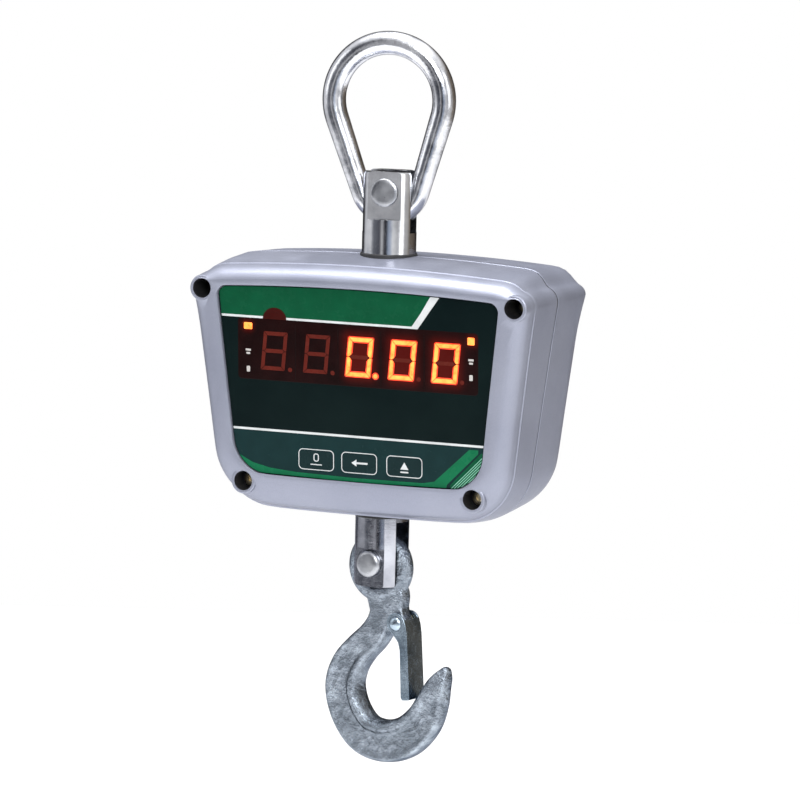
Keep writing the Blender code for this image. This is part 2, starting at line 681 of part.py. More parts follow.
def make_rear_shell():
    sections = [
        upright(case_outline(0.0645, -0.0618, 0.0), PARTING),
        upright(case_outline(0.0638, -0.0612, 0.0006), 0.0200),
        upright(case_outline(0.0630, -0.0604, 0.0020, 0.0006), 0.0370),
        upright(case_outline(0.0622, -0.0596, 0.0045, 0.0020), 0.0430),
        upright(case_outline(0.0600, -0.0574, 0.0085, 0.0045), BACK_Y),
    ]
    shell = loft("rear_shell", sections)
    cavity = loft("rear_cavity", [
        upright(case_outline(0.0645 - WALL, -0.0618, WALL), -0.0020),
        upright(case_outline(0.0638 - WALL, -0.0612, WALL + 0.0006), 0.0200),
        upright(case_outline(0.0630 - WALL, -0.0604, WALL + 0.0020, 0.0006), 0.0370),
        upright(case_outline(0.0610 - WALL, -0.0584, WALL + 0.0060, 0.0030), BACK_Y - WALL),
    ])
    cut(shell, as_tool(cavity, CENTRE))
    wall_y = BACK_Y - WALL + 0.001
    for x, z in screw_places():
        post = rod("screw_post", 0.0055, (x, wall_y - 0.0004, z), (x, PARTING + 0.0005, z), 14)
        join(shell, as_tool(post, CENTRE))
    for side in (-1, 1):
        place = side * POST_X
        post_end = (place, BRACKET_BACK + GAP, BRACKET_Z)
        post = rod("bracket_post", 0.0050, (place, wall_y, BRACKET_Z), post_end, 14)
        join(shell, as_tool(post, CENTRE))
    for x, z in screw_places():
        cut(shell, as_tool(rod("screw_pilot", 0.0023, (x, -0.01, z), (x, 0.018, z), 10), CENTRE))
    for side in (-1, 1):
        place = side * POST_X
        pilot = rod("bracket_pilot", 0.0023, (place, 0, BRACKET_Z), (place, 0.022, BRACKET_Z), 10)
        cut(shell, as_tool(pilot, CENTRE))
    for z in (0.08, -0.08):
        barrel = rod("barrel_opening", BARREL_OPENING, (0, 0, z * 0.4), (0, 0, z), 28)
        cut(shell, as_tool(barrel, CENTRE))
    recess = box("door_recess", (-0.0380, BACK_Y - 0.0014, -0.0230), (0.0380, BACK_Y + 0.01, 0.0230))
    opening = box("door_opening", (-0.0350, BACK_Y - 0.01, -0.0200), (0.0350, BACK_Y + 0.01, 0.0200))
    cut(shell, as_tool(recess, CENTRE), as_tool(opening, CENTRE))
    for side in (-1, 1):
        lug = box(
            "door_lug", (side * 0.0360 - 0.0040, BACK_Y - 0.0080, -0.0050),
            (side * 0.0360 + 0.0040, BACK_Y - 0.0014 - GAP / 3, 0.0050))
        screw_x = side * COVER_SCREW_X
        hole = rod("door_screw_hole", 0.0017, (screw_x, 0.030, 0), (screw_x, 0.06, 0), 10)
        join(shell, as_tool(lug, CENTRE))
        cut(shell, as_tool(hole, CENTRE))
    socket = rod("socket_hole", 0.0046, (SOCKET[0], 0.03, SOCKET[1]), (SOCKET[0], 0.06, SOCKET[1]), 16)
    cut(shell, as_tool(socket, CENTRE))
    finish(shell, "case_paint", CENTRE)


def make_gaskets():
    """Flat rubber strips that lie in the parting gap, one each side of the load line."""
    half_gap = PARTING - GAP
    for side, word in ((-1, "left"), (1, "right")):
        gasket = plate("case_gasket_" + word, case_outline(0.0641, -0.0614, 0.0004), -half_gap, half_gap)
        inner = plate("gasket_inside", case_outline(0.0628, -0.0601, 0.0018), -0.01, 0.01)
        low_x, high_x = sorted((side * 0.0153, -side * 0.1))
        other_half = box("gasket_end", (low_x, -0.01, -0.1), (high_x, 0.01, 0.1))
        cut(gasket, as_tool(inner, CENTRE), as_tool(other_half, CENTRE))
        finish(gasket, "rubber", CENTRE)


def make_seals():
    for name, low, high in (("upper_seal_ring", 0.0600, 0.0654), ("lower_seal_ring", -0.0626, -0.0575)):
        finish(turned_ring(name, BARREL_RADIUS + GAP, 0.0146, low, high, 28), "rubber", CENTRE)


def make_case_screws():
    words = ("top_left", "top_right", "bottom_left", "bottom_right")
    for word, (x, z) in zip(words, screw_places()):
        make_screw("case_screw_" + word, CENTRE, SCREW_HEAD_Y, 0.0150, across=0.0076, at=(x, z))


# ---------------------------------------------------------------- battery and socket
def make_battery():
    pack = plate("battery_pack", rounded_rectangle((0, 0), (0.0330, 0.0185), 0.0060, 2), 0.0150, 0.0340)
    finish(pack, "battery_wrap", CENTRE)
    cover = box("battery_cover", (-0.0377, BACK_Y - 0.0011, -0.0227), (0.0377, BACK_Y, 0.0227))
    for side in (-1, 1):
        hole = rod("cover_hole", 0.0019, (side * COVER_SCREW_X, 0.04, 0), (side * COVER_SCREW_X, 0.05, 0), 10)
        cut(cover, as_tool(hole, CENTRE))
    finish(cover, "case_paint", CENTRE)
    for side, word in ((-1, "left"), (1, "right")):
        place = (side * COVER_SCREW_X, 0)
        make_screw("cover_screw_" + word, CENTRE, BACK_Y + GAP, 0.0385, across=0.0052, shank=0.0014, at=place)
    socket = rod("charging_socket", 0.0065, (0, BACK_Y + GAP, 0), (0, BACK_Y + 0.0018, 0), 16)
    neck = rod("socket_neck", 0.0042, (0, BACK_Y - 0.0120, 0), (0, BACK_Y + 0.0010, 0), 16)
    mouth = rod("socket_mouth", 0.0028, (0, BACK_Y - 0.0090, 0), (0, BACK_Y + 0.01, 0), 12)
    place = (SOCKET[0], 0, SOCKET[1])
    join(socket, as_tool(neck, CENTRE, place))
    cut(socket, as_tool(mouth, CENTRE, place))
    finish(socket, "plastic", CENTRE, place)


# ---------------------------------------------------------------- display stack
def window_tool(name, grow, near, far):
    """The window's outline, with the round bump over the infra-red receiver."""
    window = plate(
        name, rounded_rectangle(
            (0, WINDOW_Z), (WINDOW_HALF[0] + grow, WINDOW_HALF[1] + grow), 0.0020, 2), near, far)
    as_tool(window, PANEL)
    bump = rod(name + "_bump", 0.0062 + grow, (RECEIVER[0], near, 0.0325), (RECEIVER[0], far, 0.0325), 20)
    join(window, as_tool(bump, PANEL))
    return window


def make_overlay():
    overlay = plate("overlay_panel", panel_outline(-GAP), OVERLAY_FRONT, OVERLAY_BACK)
    cut(overlay, window_tool("overlay_window", GAP, -0.01, 0.01))
    for x in KEY_X:
        half = (KEY_HALF[0] + GAP, KEY_HALF[1] + GAP)
        hole = plate("overlay_key", rounded_rectangle((x, KEY_Z), half, 0.0018), -0.01, 0.01)
        cut(overlay, as_tool(hole, PANEL))
    finish(overlay, "overlay", PANEL)


def make_window():
    window = plate(
        "display_window", rounded_rectangle((0, WINDOW_Z), WINDOW_HALF, 0.0020, 2),
        OVERLAY_FRONT, 0.0046)
    bump = rod(
        "window_bump", 0.0062, (RECEIVER[0], OVERLAY_FRONT, 0.0325), (RECEIVER[0], 0.0046, 0.0325), 20)
    join(window, as_tool(bump, PANEL))
    finish(window, "window", PANEL)


def make_keys():
    for name, x in zip(("zero_key", "mode_key", "off_key"), KEY_X):
        face = rounded_rectangle((x, KEY_Z), KEY_HALF, 0.0018)
        key = plate(name, face, OVERLAY_FRONT, OVERLAY_BACK + 0.0008)
        flange_half = (KEY_HALF[0] + 0.0007, KEY_HALF[1] + 0.0007)
        flange = plate(
            name + "_flange", rounded_rectangle((x, KEY_Z), flange_half, 0.0022), OVERLAY_BACK + GAP, 0.0035)
        stem = box(name + "_stem", (x - 0.0030, 0.0030, KEY_Z - 0.0020), (x + 0.0030, 0.0073, KEY_Z + 0.0020))
        join(key, as_tool(flange, PANEL), as_tool(stem, PANEL))
        finish(key, "overlay", PANEL)


def make_board():
    board = box("display_board", (-0.0690, BOARD_FRONT, -0.0420), (0.0690, BOARD_BACK, 0.0430))
    for x, z in BOARD_SCREWS:
        hole = rod("board_hole", 0.0016, (x, 0, z), (x, 0.03, z), 8)
        cut(board, as_tool(hole, PANEL))
    for side in (-1, 1):
        low_x, high_x = sorted((side * 0.0510, side * 0.08))
        notch = box("board_notch", (low_x, 0.0, -0.05), (high_x, 0.03, -0.0330))
        cut(board, as_tool(notch, PANEL))
    finish(board, "board", PANEL)
    for index, (x, z) in enumerate(BOARD_SCREWS):
        make_screw(
            f"board_screw_{index + 1}", PANEL, BOARD_BACK + GAP, WALL_BACK + 0.0018,
            across=0.0048, shank=0.0011, at=(x, z),
        )


def make_digits():
    for index in range(5):
        x = (index - 2) * DIGIT_PITCH
        digit = box(
            f"digit_{index + 1}", (x - DIGIT_PITCH / 2 + GAP, 0.0058, DIGIT_Z - 0.0140),
            (x + DIGIT_PITCH / 2 - GAP, BOARD_FRONT - GAP, DIGIT_Z + 0.0140))
        finish(digit, "led", PANEL)
    for side, word in ((-1, "left"), (1, "right")):
        centre = side * 0.0600
        bar = box(
            "indicator_bar_" + word,
            (centre - 0.0022, 0.0058, 0.0040),
            (centre + 0.0022, BOARD_FRONT - GAP, 0.0320),
        )
        finish(bar, "led", PANEL)


def make_board_parts():
    x, z = RECEIVER
    body = box("ir_receiver", (x - 0.0030, 0.0085, z - 0.0035), (x + 0.0030, BOARD_FRONT - GAP, z + 0.0035))
    dome = rod("receiver_dome", 0.0025, (x, 0.0066, z), (x, 0.0095, z), 14, 0.0025)
    join(body, as_tool(dome, PANEL))
    finish(body, "plastic", PANEL)
    for index, x in enumerate(KEY_X):
        switch = box(
            f"key_switch_{index + 1}",
            (x - SWITCH_HALF, 0.0100, KEY_Z - SWITCH_HALF),
            (x + SWITCH_HALF, BOARD_FRONT - GAP, KEY_Z + SWITCH_HALF),
        )
        plunger = rod("switch_plunger", 0.0017, (x, 0.0080, KEY_Z), (x, 0.0110, KEY_Z), 12)
        join(switch, as_tool(plunger, PANEL))
        finish(switch, "plastic", PANEL)
    back = BOARD_BACK + GAP
    buzzer = rod("buzzer", 0.0060, (-0.0400, back, -0.0180), (-0.0400, back + 0.0065, -0.0180), 16)
    vent = rod("buzzer_vent", 0.0010, (-0.0400, back + 0.004, -0.0180), (-0.0400, back + 0.02, -0.0180), 8)
    cut(buzzer, as_tool(vent, PANEL))
    finish(buzzer, "plastic", PANEL)
    for name, x in (("cell_connector", CELL_PLUG_X), ("battery_connector", BATTERY_PLUG_X)):
        finish(box(name, (x - 0.0050, back, 0.0040), (x + 0.0050, back + 0.0060, 0.0100)), "plastic", PANEL)


# ---------------------------------------------------------------- internal cables
def make_cables():
    """Both leads lie wholly inside the case, from their source to the plugs on the board."""
    cell_route = [
        (0.0255, 0, 0.0030), (0.0310, 0, 0.0032), (0.0380, -0.0030, 0.0050), (0.0445, -0.0070, 0.0068),
        (0.0480, -0.0110, 0.0070), (0.0480, -0.0140, 0.0072),
    ]
    battery_route = [
        (-0.0335, 0.0250, 0.0060), (-0.0390, 0.0230, 0.0060), (-0.0440, 0.0150, 0.0062),
        (-0.0470, 0.0050, 0.0066), (-0.0480, -0.0060, 0.0070), (-0.0480, -0.0140, 0.0072),
    ]
    for name, route, radius in (
        ("load_cell_cable", cell_route, 0.0020), ("battery_lead", battery_route, 0.0015),
    ):
        finish(tube(name, smooth_path(route, 2), radius, 1), "cable", CENTRE)


# ---------------------------------------------------------------- hook and latch
def hook_section(centre, across, half_width, half_depth):
    """An eight-sided forged section: flat faces with chamfered corners."""
    ring = []
    for a, b in (
        (1.0, 0.35), (0.62, 1.0), (-0.62, 1.0), (-1.0, 0.35),
        (-1.0, -0.35), (-0.62, -1.0), (0.62, -1.0), (1.0, -0.35),
    ):
        ring.append((
            centre[0] + across[0] * half_width * a, half_depth * b, centre[1] + across[1] * half_width * a))
    return ring


def make_hook():
    line = [Vector((x, z)) for x, z, _, _ in HOOK_LINE]
    sections = []
    for index, (x, z, width, depth) in enumerate(HOOK_LINE):
        before, after = line[max(index - 1, 0)], line[min(index + 1, len(line) - 1)]
        along = (after - before).normalized()
        sections.append(hook_section((x, z), (-along.y, along.x), width, depth))
    hook = loft("hook", sections)
    ring_points = [
        (EYE_RADIUS * math.cos(math.tau * i / 22), 0, EYE_Z + EYE_RADIUS * math.sin(math.tau * i / 22))
        for i in range(22)
    ]
    eye = curve_to_mesh(tube("hook_eye", ring_points, EYE_WIRE, 1, cyclic=True))
    join(hook, as_tool(eye, LOWER))
    pivot_x, pivot_z = LATCH_PIVOT
    lug = rod("latch_lug", LUG_RADIUS, (pivot_x, -LUG_HALF, pivot_z), (pivot_x, LUG_HALF, pivot_z), 14)
    root = plate("lug_root", LUG_SHOULDER, -LUG_HALF, LUG_HALF)
    bore = rod("lug_bore", LATCH_PIN_RADIUS + GAP, (pivot_x, -0.02, pivot_z), (pivot_x, 0.02, pivot_z), 12)
    join(hook, as_tool(lug, LOWER), as_tool(root, LOWER))
    cut(hook, as_tool(bore, LOWER))
    finish(hook, "galvanised", LOWER)


def curve_to_mesh(obj):
    """The evaluated mesh of a curve, as a new object with its caps joined to its sides."""
    bpy.context.scene.collection.objects.link(obj)
    bpy.context.view_layer.update()
    evaluated = obj.evaluated_get(bpy.context.evaluated_depsgraph_get())
    mesh = bpy.data.meshes.new_from_object(evaluated)
    name = obj.name
    bpy.data.objects.remove(obj, do_unlink=True)
    form = bmesh.new()
    form.from_mesh(mesh)
    bmesh.ops.remove_doubles(form, verts=form.verts, dist=0.00001)
    bmesh.ops.recalc_face_normals(form, faces=form.faces)
    form.to_mesh(mesh)
    form.free()
    return bpy.data.objects.new(name, mesh)




def make_latch():
    """A bent sheet channel: its web faces the tip, and its cheeks widen into ears round the pivot."""
    cheek = [
        (-0.0045, 0.0015), (-0.0020, 0.0050), (0.0050, 0.0050), (0.0062, 0.0030), (0.0062, 0.0),
        (0.0046, -LATCH_LENGTH), (-0.0006, -LATCH_LENGTH), (0.0010, -0.0110), (-0.0045, -0.0050),
    ]
    latch = plate("latch", cheek, -LATCH_HALF, LATCH_HALF)
    inner_top = 0.0062 - LATCH_SHEET
    inner_end = 0.0046 - LATCH_SHEET
    hollow = [(-0.02, 0.02), (inner_top, 0.02), (inner_top, 0.0), (inner_end, -LATCH_LENGTH), (-0.02, -0.06)]
    inside = plate("latch_hollow", hollow, -LATCH_HALF + LATCH_SHEET, LATCH_HALF - LATCH_SHEET)
    bore = rod("latch_bore", 0.0020 + GAP, (0, -0.02, 0), (0, 0.02, 0), 12)
    as_tool(inside, LATCH_FRAME).rotation_euler = (0, -LATCH_TILT, 0)
    cut(latch, inside, as_tool(bore, LATCH_FRAME))
    finish(latch, "zinc", LATCH_FRAME)
    latch.rotation_euler = (0, -LATCH_TILT, 0)
    head = LATCH_HALF + GAP
    profile = [
        (0, head + 0.0012), (0.0022, head + 0.0012), (0.0034, head + 0.0005), (0.0034, head),
        (LATCH_PIN_RADIUS, head), (LATCH_PIN_RADIUS, -head),
        (0.0034, -head), (0.0034, -head - 0.0005), (0.0022, -head - 0.0012), (0, -head - 0.0012),
    ]
    pin = turned("latch_pin", profile, 14)
    finish(pin, "zinc", LATCH_FRAME)
    pin.rotation_euler = (math.pi / 2, 0, 0)
    make_latch_spring()


def make_latch_spring():
    """A turn and a half of wire round the pivot beside the lug, with a leg down the inside of the web."""
    points = []
    for step in range(19):
        angle = math.pi + math.tau * 1.5 * step / 18
        points.append((
            SPRING_RADIUS * math.cos(angle), SPRING_START + SPRING_PITCH * 1.5 * step / 18,
            SPRING_RADIUS * math.sin(angle)))
    leg = SPRING_START + SPRING_PITCH * 1.5
    points.append((SPRING_RADIUS, leg, -0.0060))
    points.append((SPRING_RADIUS - 0.0008, leg, -0.0120))
    finish(tube("latch_spring", points, SPRING_WIRE, 1), "screw_steel", LATCH_FRAME)


make_ring()
make_load_line()
make_load_cell()
make_bracket()
make_front_shell()
make_rear_shell()
make_gaskets()
make_seals()
make_case_screws()
make_battery()
make_overlay()
make_window()
make_keys()
make_board()
make_digits()
make_board_parts()
make_cables()
make_hook()
make_latch()
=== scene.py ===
import math

import bmesh
import bpy
from mathutils import Matrix, Vector


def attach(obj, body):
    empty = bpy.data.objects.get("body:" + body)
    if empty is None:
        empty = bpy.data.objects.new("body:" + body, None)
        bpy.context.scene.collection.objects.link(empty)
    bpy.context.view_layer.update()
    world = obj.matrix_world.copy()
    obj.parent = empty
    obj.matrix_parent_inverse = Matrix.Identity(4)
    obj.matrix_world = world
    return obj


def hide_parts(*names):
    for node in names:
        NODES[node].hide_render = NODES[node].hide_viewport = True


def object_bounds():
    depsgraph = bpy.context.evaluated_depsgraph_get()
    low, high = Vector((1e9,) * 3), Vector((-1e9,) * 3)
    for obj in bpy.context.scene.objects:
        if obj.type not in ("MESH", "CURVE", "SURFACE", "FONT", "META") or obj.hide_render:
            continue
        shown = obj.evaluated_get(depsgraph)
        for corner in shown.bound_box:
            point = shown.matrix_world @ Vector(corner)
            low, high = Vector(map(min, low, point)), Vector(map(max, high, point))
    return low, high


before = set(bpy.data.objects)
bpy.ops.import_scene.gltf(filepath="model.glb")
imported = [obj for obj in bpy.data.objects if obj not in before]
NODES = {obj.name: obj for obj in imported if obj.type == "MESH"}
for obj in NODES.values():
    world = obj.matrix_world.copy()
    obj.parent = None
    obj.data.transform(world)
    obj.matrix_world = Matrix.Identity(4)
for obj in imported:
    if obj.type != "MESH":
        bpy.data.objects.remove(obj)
CAD_LOW, CAD_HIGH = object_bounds()

# Lengths in metres. The case's own frame has its origin on the load line, midway between the screw rows.
PIN = Vector((0.0026132, 0.0003209, -0.0655472))
CENTRE = PIN - Vector((0, 0, 0.095))
LOWER_PIN = CENTRE - Vector((0, 0, 0.085))
FRONT_Y = -0.0359
BACK_Y = 0.046
LEAN = math.atan(0.0673)
PARTING = 0.0007
RECESS_FLOOR = 0.0026
BARREL_OPENING = 0.0140
SCREWS = ((0.0809, 0.0464), (0.0598, -0.0464))
SCREW_BORE = 0.00475
SCREW_FLOOR_Y = -0.0217
COVER_SCREW_X = 0.0355
SOCKET_X = 0.0560
SOCKET_Z = -0.0350

# The display panel's sides run outwards as they rise
PANEL_SIDE_X = 0.0680
PANEL_SIDE_SLOPE = 0.1125
OVERLAY_FRONT = 0.0015
WINDOW_FRONT = OVERLAY_FRONT - 0.00005
WINDOW_BACK = 0.0046
PRINT_STEP = 0.00004
DIGIT_Z = 0.0180
DIGIT_PITCH = 0.0223
DIGIT_SHIFT = 0.0013
DIGIT_SLANT = 0.10
LAMP_Z = 0.0295
KEY_X = (-0.0215, 0.0010, 0.0245)
KEY_Z = -0.0335
KEY_HALF = (0.0094, 0.0052)
KEY_ROUND = 0.0024
KEY_FRONT = OVERLAY_FRONT - 0.00012

# How far a cutter reaches past what it cuts
PAST = 0.0200

# Forks, seen from their pins, and the hook's eye and latch, seen from the lower pin
FORK_RADIUS = 0.0131
FORK_SLOT_HALF = 0.0055
FORK_FLAT = 0.0101
FORK_BORE = 0.0063
EYE_RADIUS = 0.0134
EYE_WIRE = 0.0046
EYE_Z = -0.0025
LATCH_PIVOT = (0.0135, 0, -0.0285)

CASE = Matrix.Translation(CENTRE)
UPPER = Matrix.Translation(PIN) @ Matrix.Rotation(math.radians(7), 4, "Z")
RING = UPPER @ Matrix.Rotation(math.radians(-2.3), 4, "Y")
LOWER = Matrix.Translation(LOWER_PIN) @ Matrix.Rotation(math.radians(-11), 4, "Z")
PANEL = CASE @ Matrix.Translation((0, FRONT_Y, 0)) @ Matrix.Rotation(LEAN, 4, "X")
LATCH = LOWER @ Matrix.Translation(LATCH_PIVOT)
LATCH_LEANING = LATCH @ Matrix.Rotation(math.radians(-7), 4, "Y")
ACROSS = Matrix.Rotation(math.radians(90), 4, "X")
REARWARD = Matrix.Rotation(math.radians(-90), 4, "X")


# ---- materials
class Shader:
    """A Principled material built up from noise, so that no surface is one flat colour."""

    def __init__(self, name, metallic=0.0, coat=0.0, ior=1.5):
        self.material = bpy.data.materials.new(name)
        self.material.use_nodes = True
        self.tree = self.material.node_tree
        self.main = self.tree.nodes["Principled BSDF"]
        self.main.inputs["Metallic"].default_value = metallic
        self.main.inputs["Coat Weight"].default_value = coat
        self.main.inputs["Coat Roughness"].default_value = 0.08
        self.main.inputs["IOR"].default_value = ior
        if metallic == 1.0:
            self.main.inputs["Specular Tint"].default_value = (0.22, 0.22, 0.25, 1)
        self.place = self.node("ShaderNodeTexCoord").outputs["Object"]

    def node(self, kind, **values):
        made = self.tree.nodes.new(kind)
        for key, value in values.items():
            setattr(made, key, value)
        return made

    def link(self, source, target):
        self.tree.links.new(source, target)

    def feed(self, socket, value):
        """Gives a socket another node's output, a colour or a number."""
        if hasattr(value, "links"):
            self.link(value, socket)
        elif isinstance(value, tuple):
            socket.default_value = (*value, 1)
        else:
            socket.default_value = value

    def maths(self, operation, first, second=0.0):
        node = self.node("ShaderNodeMath", operation=operation)
        self.feed(node.inputs[0], first)
        self.feed(node.inputs[1], second)
        return node.outputs[0]

    def stretch(self, scale):
        mapping = self.node("ShaderNodeMapping")
        mapping.inputs["Scale"].default_value = scale
        self.link(self.place, mapping.inputs["Vector"])
        return mapping.outputs["Vector"]

    def noise(self, scale, detail=4.0, rough=0.55, along=(1, 1, 1)):
        texture = self.node("ShaderNodeTexNoise")
        texture.inputs["Scale"].default_value = scale
        texture.inputs["Detail"].default_value = detail
        texture.inputs["Roughness"].default_value = rough
        self.link(self.stretch(along), texture.inputs["Vector"])
        return texture.outputs["Fac"]

    def cells(self, scale, along=(1, 1, 1)):
        texture = self.node("ShaderNodeTexVoronoi")
        texture.inputs["Scale"].default_value = scale
        self.link(self.stretch(along), texture.inputs["Vector"])
        return texture.outputs["Distance"]

    def ramp(self, source, *stops):
        """stops are (position, colour or grey level)."""
        ramp = self.node("ShaderNodeValToRGB")
        elements = ramp.color_ramp.elements
        while len(elements) < len(stops):
            elements.new(0.5)
        for element, (position, value) in zip(elements, stops):
            element.position = position
            element.color = (*value, 1) if isinstance(value, tuple) else (value, value, value, 1)
        self.link(source, ramp.inputs["Fac"])
        return ramp.outputs["Color"]

    def mix(self, amount, first, second, how="MIX"):
        mix = self.node("ShaderNodeMix", data_type="RGBA", blend_type=how)
        for index, value in ((0, amount), (6, first), (7, second)):
            self.feed(mix.inputs[index], value)
        return mix.outputs[2]

    def colour(self, source):
        self.link(source, self.main.inputs["Base Color"])
        return self

    def roughness(self, source, low, high):
        spread = self.node("ShaderNodeMapRange")
        spread.inputs["To Min"].default_value = low
        spread.inputs["To Max"].default_value = high
        spread.inputs["From Min"].default_value = 0.3
        spread.inputs["From Max"].default_value = 0.7
        self.link(source, spread.inputs["Value"])
        self.link(spread.outputs["Result"], self.main.inputs["Roughness"])
        return self

    def bump(self, *layers):
        """layers are (height source, depth in metres); each sits on the one before."""
        normal = None
        for source, depth in layers:
            bump = self.node("ShaderNodeBump")
            bump.inputs["Strength"].default_value = 1.0
            bump.inputs["Distance"].default_value = depth
            self.link(source, bump.inputs["Height"])
            if normal is not None:
                self.link(normal, bump.inputs["Normal"])
            normal = bump.outputs["Normal"]
        self.link(normal, self.main.inputs["Normal"])
        return self


def blended(name, dark, light, scale=60, rough=(0.3, 0.45), depth=0.00002, fine=900, ior=1.5):
    """The everyday finish: two close colours in soft patches, uneven gloss and a fine surface grain."""
    shader = Shader(name, 0.0, 0.0, ior)
    patches = shader.noise(scale, 5)
    grain = shader.noise(fine, 3)
    shader.colour(shader.ramp(patches, (0.35, dark), (0.65, light)))
    shader.roughness(shader.noise(scale * 2.3, 4), *rough)
    shader.bump((grain, depth))
    return shader.material


def case_paint():
    """Silver metallic paint: fine flakes, a slight orange peel and faint handling marks."""
    shader = Shader("case_paint", 0.50, 0.05, 1.33)
    shader.main.inputs["Specular Tint"].default_value = (0.10, 0.10, 0.13, 1)
    flakes = shader.cells(5200)
    patches = shader.noise(18, 4)
    base = shader.ramp(patches, (0.30, (0.255, 0.27, 0.335)), (0.70, (0.305, 0.32, 0.385)))
    sparkle = shader.ramp(flakes, (0.15, 1.0), (0.75, 0.80))
    toned = shader.mix(1.0, base, sparkle, "MULTIPLY")
    marks = shader.ramp(shader.noise(240, 6, 0.7, (1, 1, 0.25)), (0.66, 0.0), (0.74, 0.35))
    shader.colour(shader.mix(marks, toned, (0.37, 0.38, 0.45)))
    shader.roughness(shader.noise(70, 5), 0.34, 0.46)
    shader.bump((shader.noise(420, 3), 0.000030), (flakes, 0.000004))
    return shader.material


def polished_wire():
    """Bright zinc on a bent bar: drawn lengthwise streaks, dull patches and small dents."""
    shader = Shader("polished_wire", 1.0)
    patches = shader.noise(90, 6, 0.6)
    streaks = shader.noise(240, 5, 0.7, (1, 1, 0.2))
    base = shader.ramp(
        patches, (0.32, (0.44, 0.45, 0.47)), (0.55, (0.66, 0.67, 0.70)), (0.75, (0.82, 0.83, 0.85)))
    shader.colour(shader.mix(shader.ramp(streaks, (0.58, 0.0), (0.72, 0.5)), base, (0.22, 0.22, 0.23)))
    shader.roughness(patches, 0.13, 0.28)
    shader.bump((shader.noise(130, 4), 0.00022), (streaks, 0.00006))
    return shader.material


def forged_zinc():
    """Zinc-coated forging: hammered swells, spangle and a pitted skin."""
    shader = Shader("forged_zinc", 1.0)
    swells = shader.noise(120, 3)
    pits = shader.noise(620, 5, 0.65)
    spangle = shader.cells(260)
    base = shader.ramp(
        swells, (0.34, (0.19, 0.22, 0.255)), (0.50, (0.26, 0.295, 0.34)), (0.66, (0.37, 0.42, 0.475)))
    toned = shader.mix(0.30, base, shader.ramp(spangle, (0.0, 1.0), (0.8, 0.55)), "MULTIPLY")
    shader.colour(shader.mix(shader.ramp(pits, (0.56, 0.0), (0.70, 0.7)), toned, (0.08, 0.09, 0.11)))
    shader.roughness(pits, 0.12, 0.26)
    shader.bump((swells, 0.0011), (spangle, 0.00040), (pits, 0.00065))
    return shader.material


def plated(name, dark, light, rough):
    """Plated steel with fine turning or rolling lines and a few scuffs."""
    shader = Shader(name, 1.0)
    lines = shader.noise(160, 4, 0.6, (1, 1, 14))
    scuffs = shader.noise(300, 6, 0.7)
    base = shader.ramp(shader.noise(70, 4), (0.35, dark), (0.65, light))
    shader.colour(shader.mix(shader.ramp(scuffs, (0.63, 0.0), (0.75, 0.5)), base, dark))
    shader.roughness(scuffs, *rough)
    shader.bump((lines, 0.000035), (scuffs, 0.00002))
    return shader.material


def printed(name, colour, rough=0.25):
    """Screen print under a clear film: the ink's slight unevenness and the film's gloss."""
    dark = tuple(c * 0.86 for c in colour)
    gloss = (rough - 0.05, rough + 0.06)
    return blended(name, dark, colour, scale=120, rough=gloss, depth=0.000006, ior=1.16)


def glowing(name, core, edge, strength):
    """A lit segment: its colour and glow uneven in small random patches."""
    shader = Shader(name, 0.0, 0.3)
    uneven = shader.noise(420, 2)
    shader.colour(shader.ramp(uneven, (0.3, edge), (0.7, core)))
    shader.link(shader.ramp(uneven, (0.25, edge), (0.6, core)), shader.main.inputs["Emission Color"])
    shader.main.inputs["Emission Strength"].default_value = strength
    shader.roughness(uneven, 0.25, 0.4)
    shader.bump((uneven, 0.00001))
    return shader.material


def glow_round(shader, axes, centre, half, reach, power):
    """Light that fades with the distance from an upright box of half sizes half round the centre."""
    squared = []
    for axis, middle, size in zip(axes, centre, half):
        away = shader.maths("SUBTRACT", axis, middle)
        past = shader.maths("SUBTRACT", shader.maths("ABSOLUTE", away), size)
        past = shader.maths("MAXIMUM", past, 0.0)
        squared.append(shader.maths("MULTIPLY", past, past))
    fall = shader.maths("DIVIDE", shader.maths("ADD", *squared), -reach * reach / 3)
    return shader.maths("MULTIPLY", shader.maths("EXPONENT", fall), power)


def window_film():
    """Dark red filter over the digits, with the lit digits' glow spreading through it."""
    shader = Shader("window_film", 0.0, 0.0, 1.16)
    split = shader.node("ShaderNodeSeparateXYZ")
    shader.link(shader.place, split.inputs[0])
    axes = (split.outputs[0], split.outputs[2])
    lit_x = [DIGIT_SHIFT + i * DIGIT_PITCH for i in range(3)]
    lit_digits = [((x, DIGIT_Z), (0.0050, 0.0085), 0.0060, 0.75) for x in lit_x]
    lamps = [((x, LAMP_Z), (0.0008, 0.0008), 0.0035, 0.8) for x in (-0.0572, 0.0592)]
    total = None
    for source in lit_digits + lamps:
        glow = glow_round(shader, axes, *source)
        total = glow if total is None else shader.maths("ADD", total, glow)
    smoke = shader.noise(80, 4)
    shader.colour(shader.ramp(smoke, (0.35, (0.006, 0.0020, 0.0020)), (0.65, (0.010, 0.0028, 0.0028))))
    shader.main.inputs["Emission Color"].default_value = (0.55, 0.020, 0.008, 1)
    shader.link(shader.maths("MULTIPLY", total, 0.20), shader.main.inputs["Emission Strength"])
    shader.roughness(shader.noise(300, 3), 0.10, 0.18)
    shader.bump((shader.noise(900, 2), 0.000004))
    return shader.material


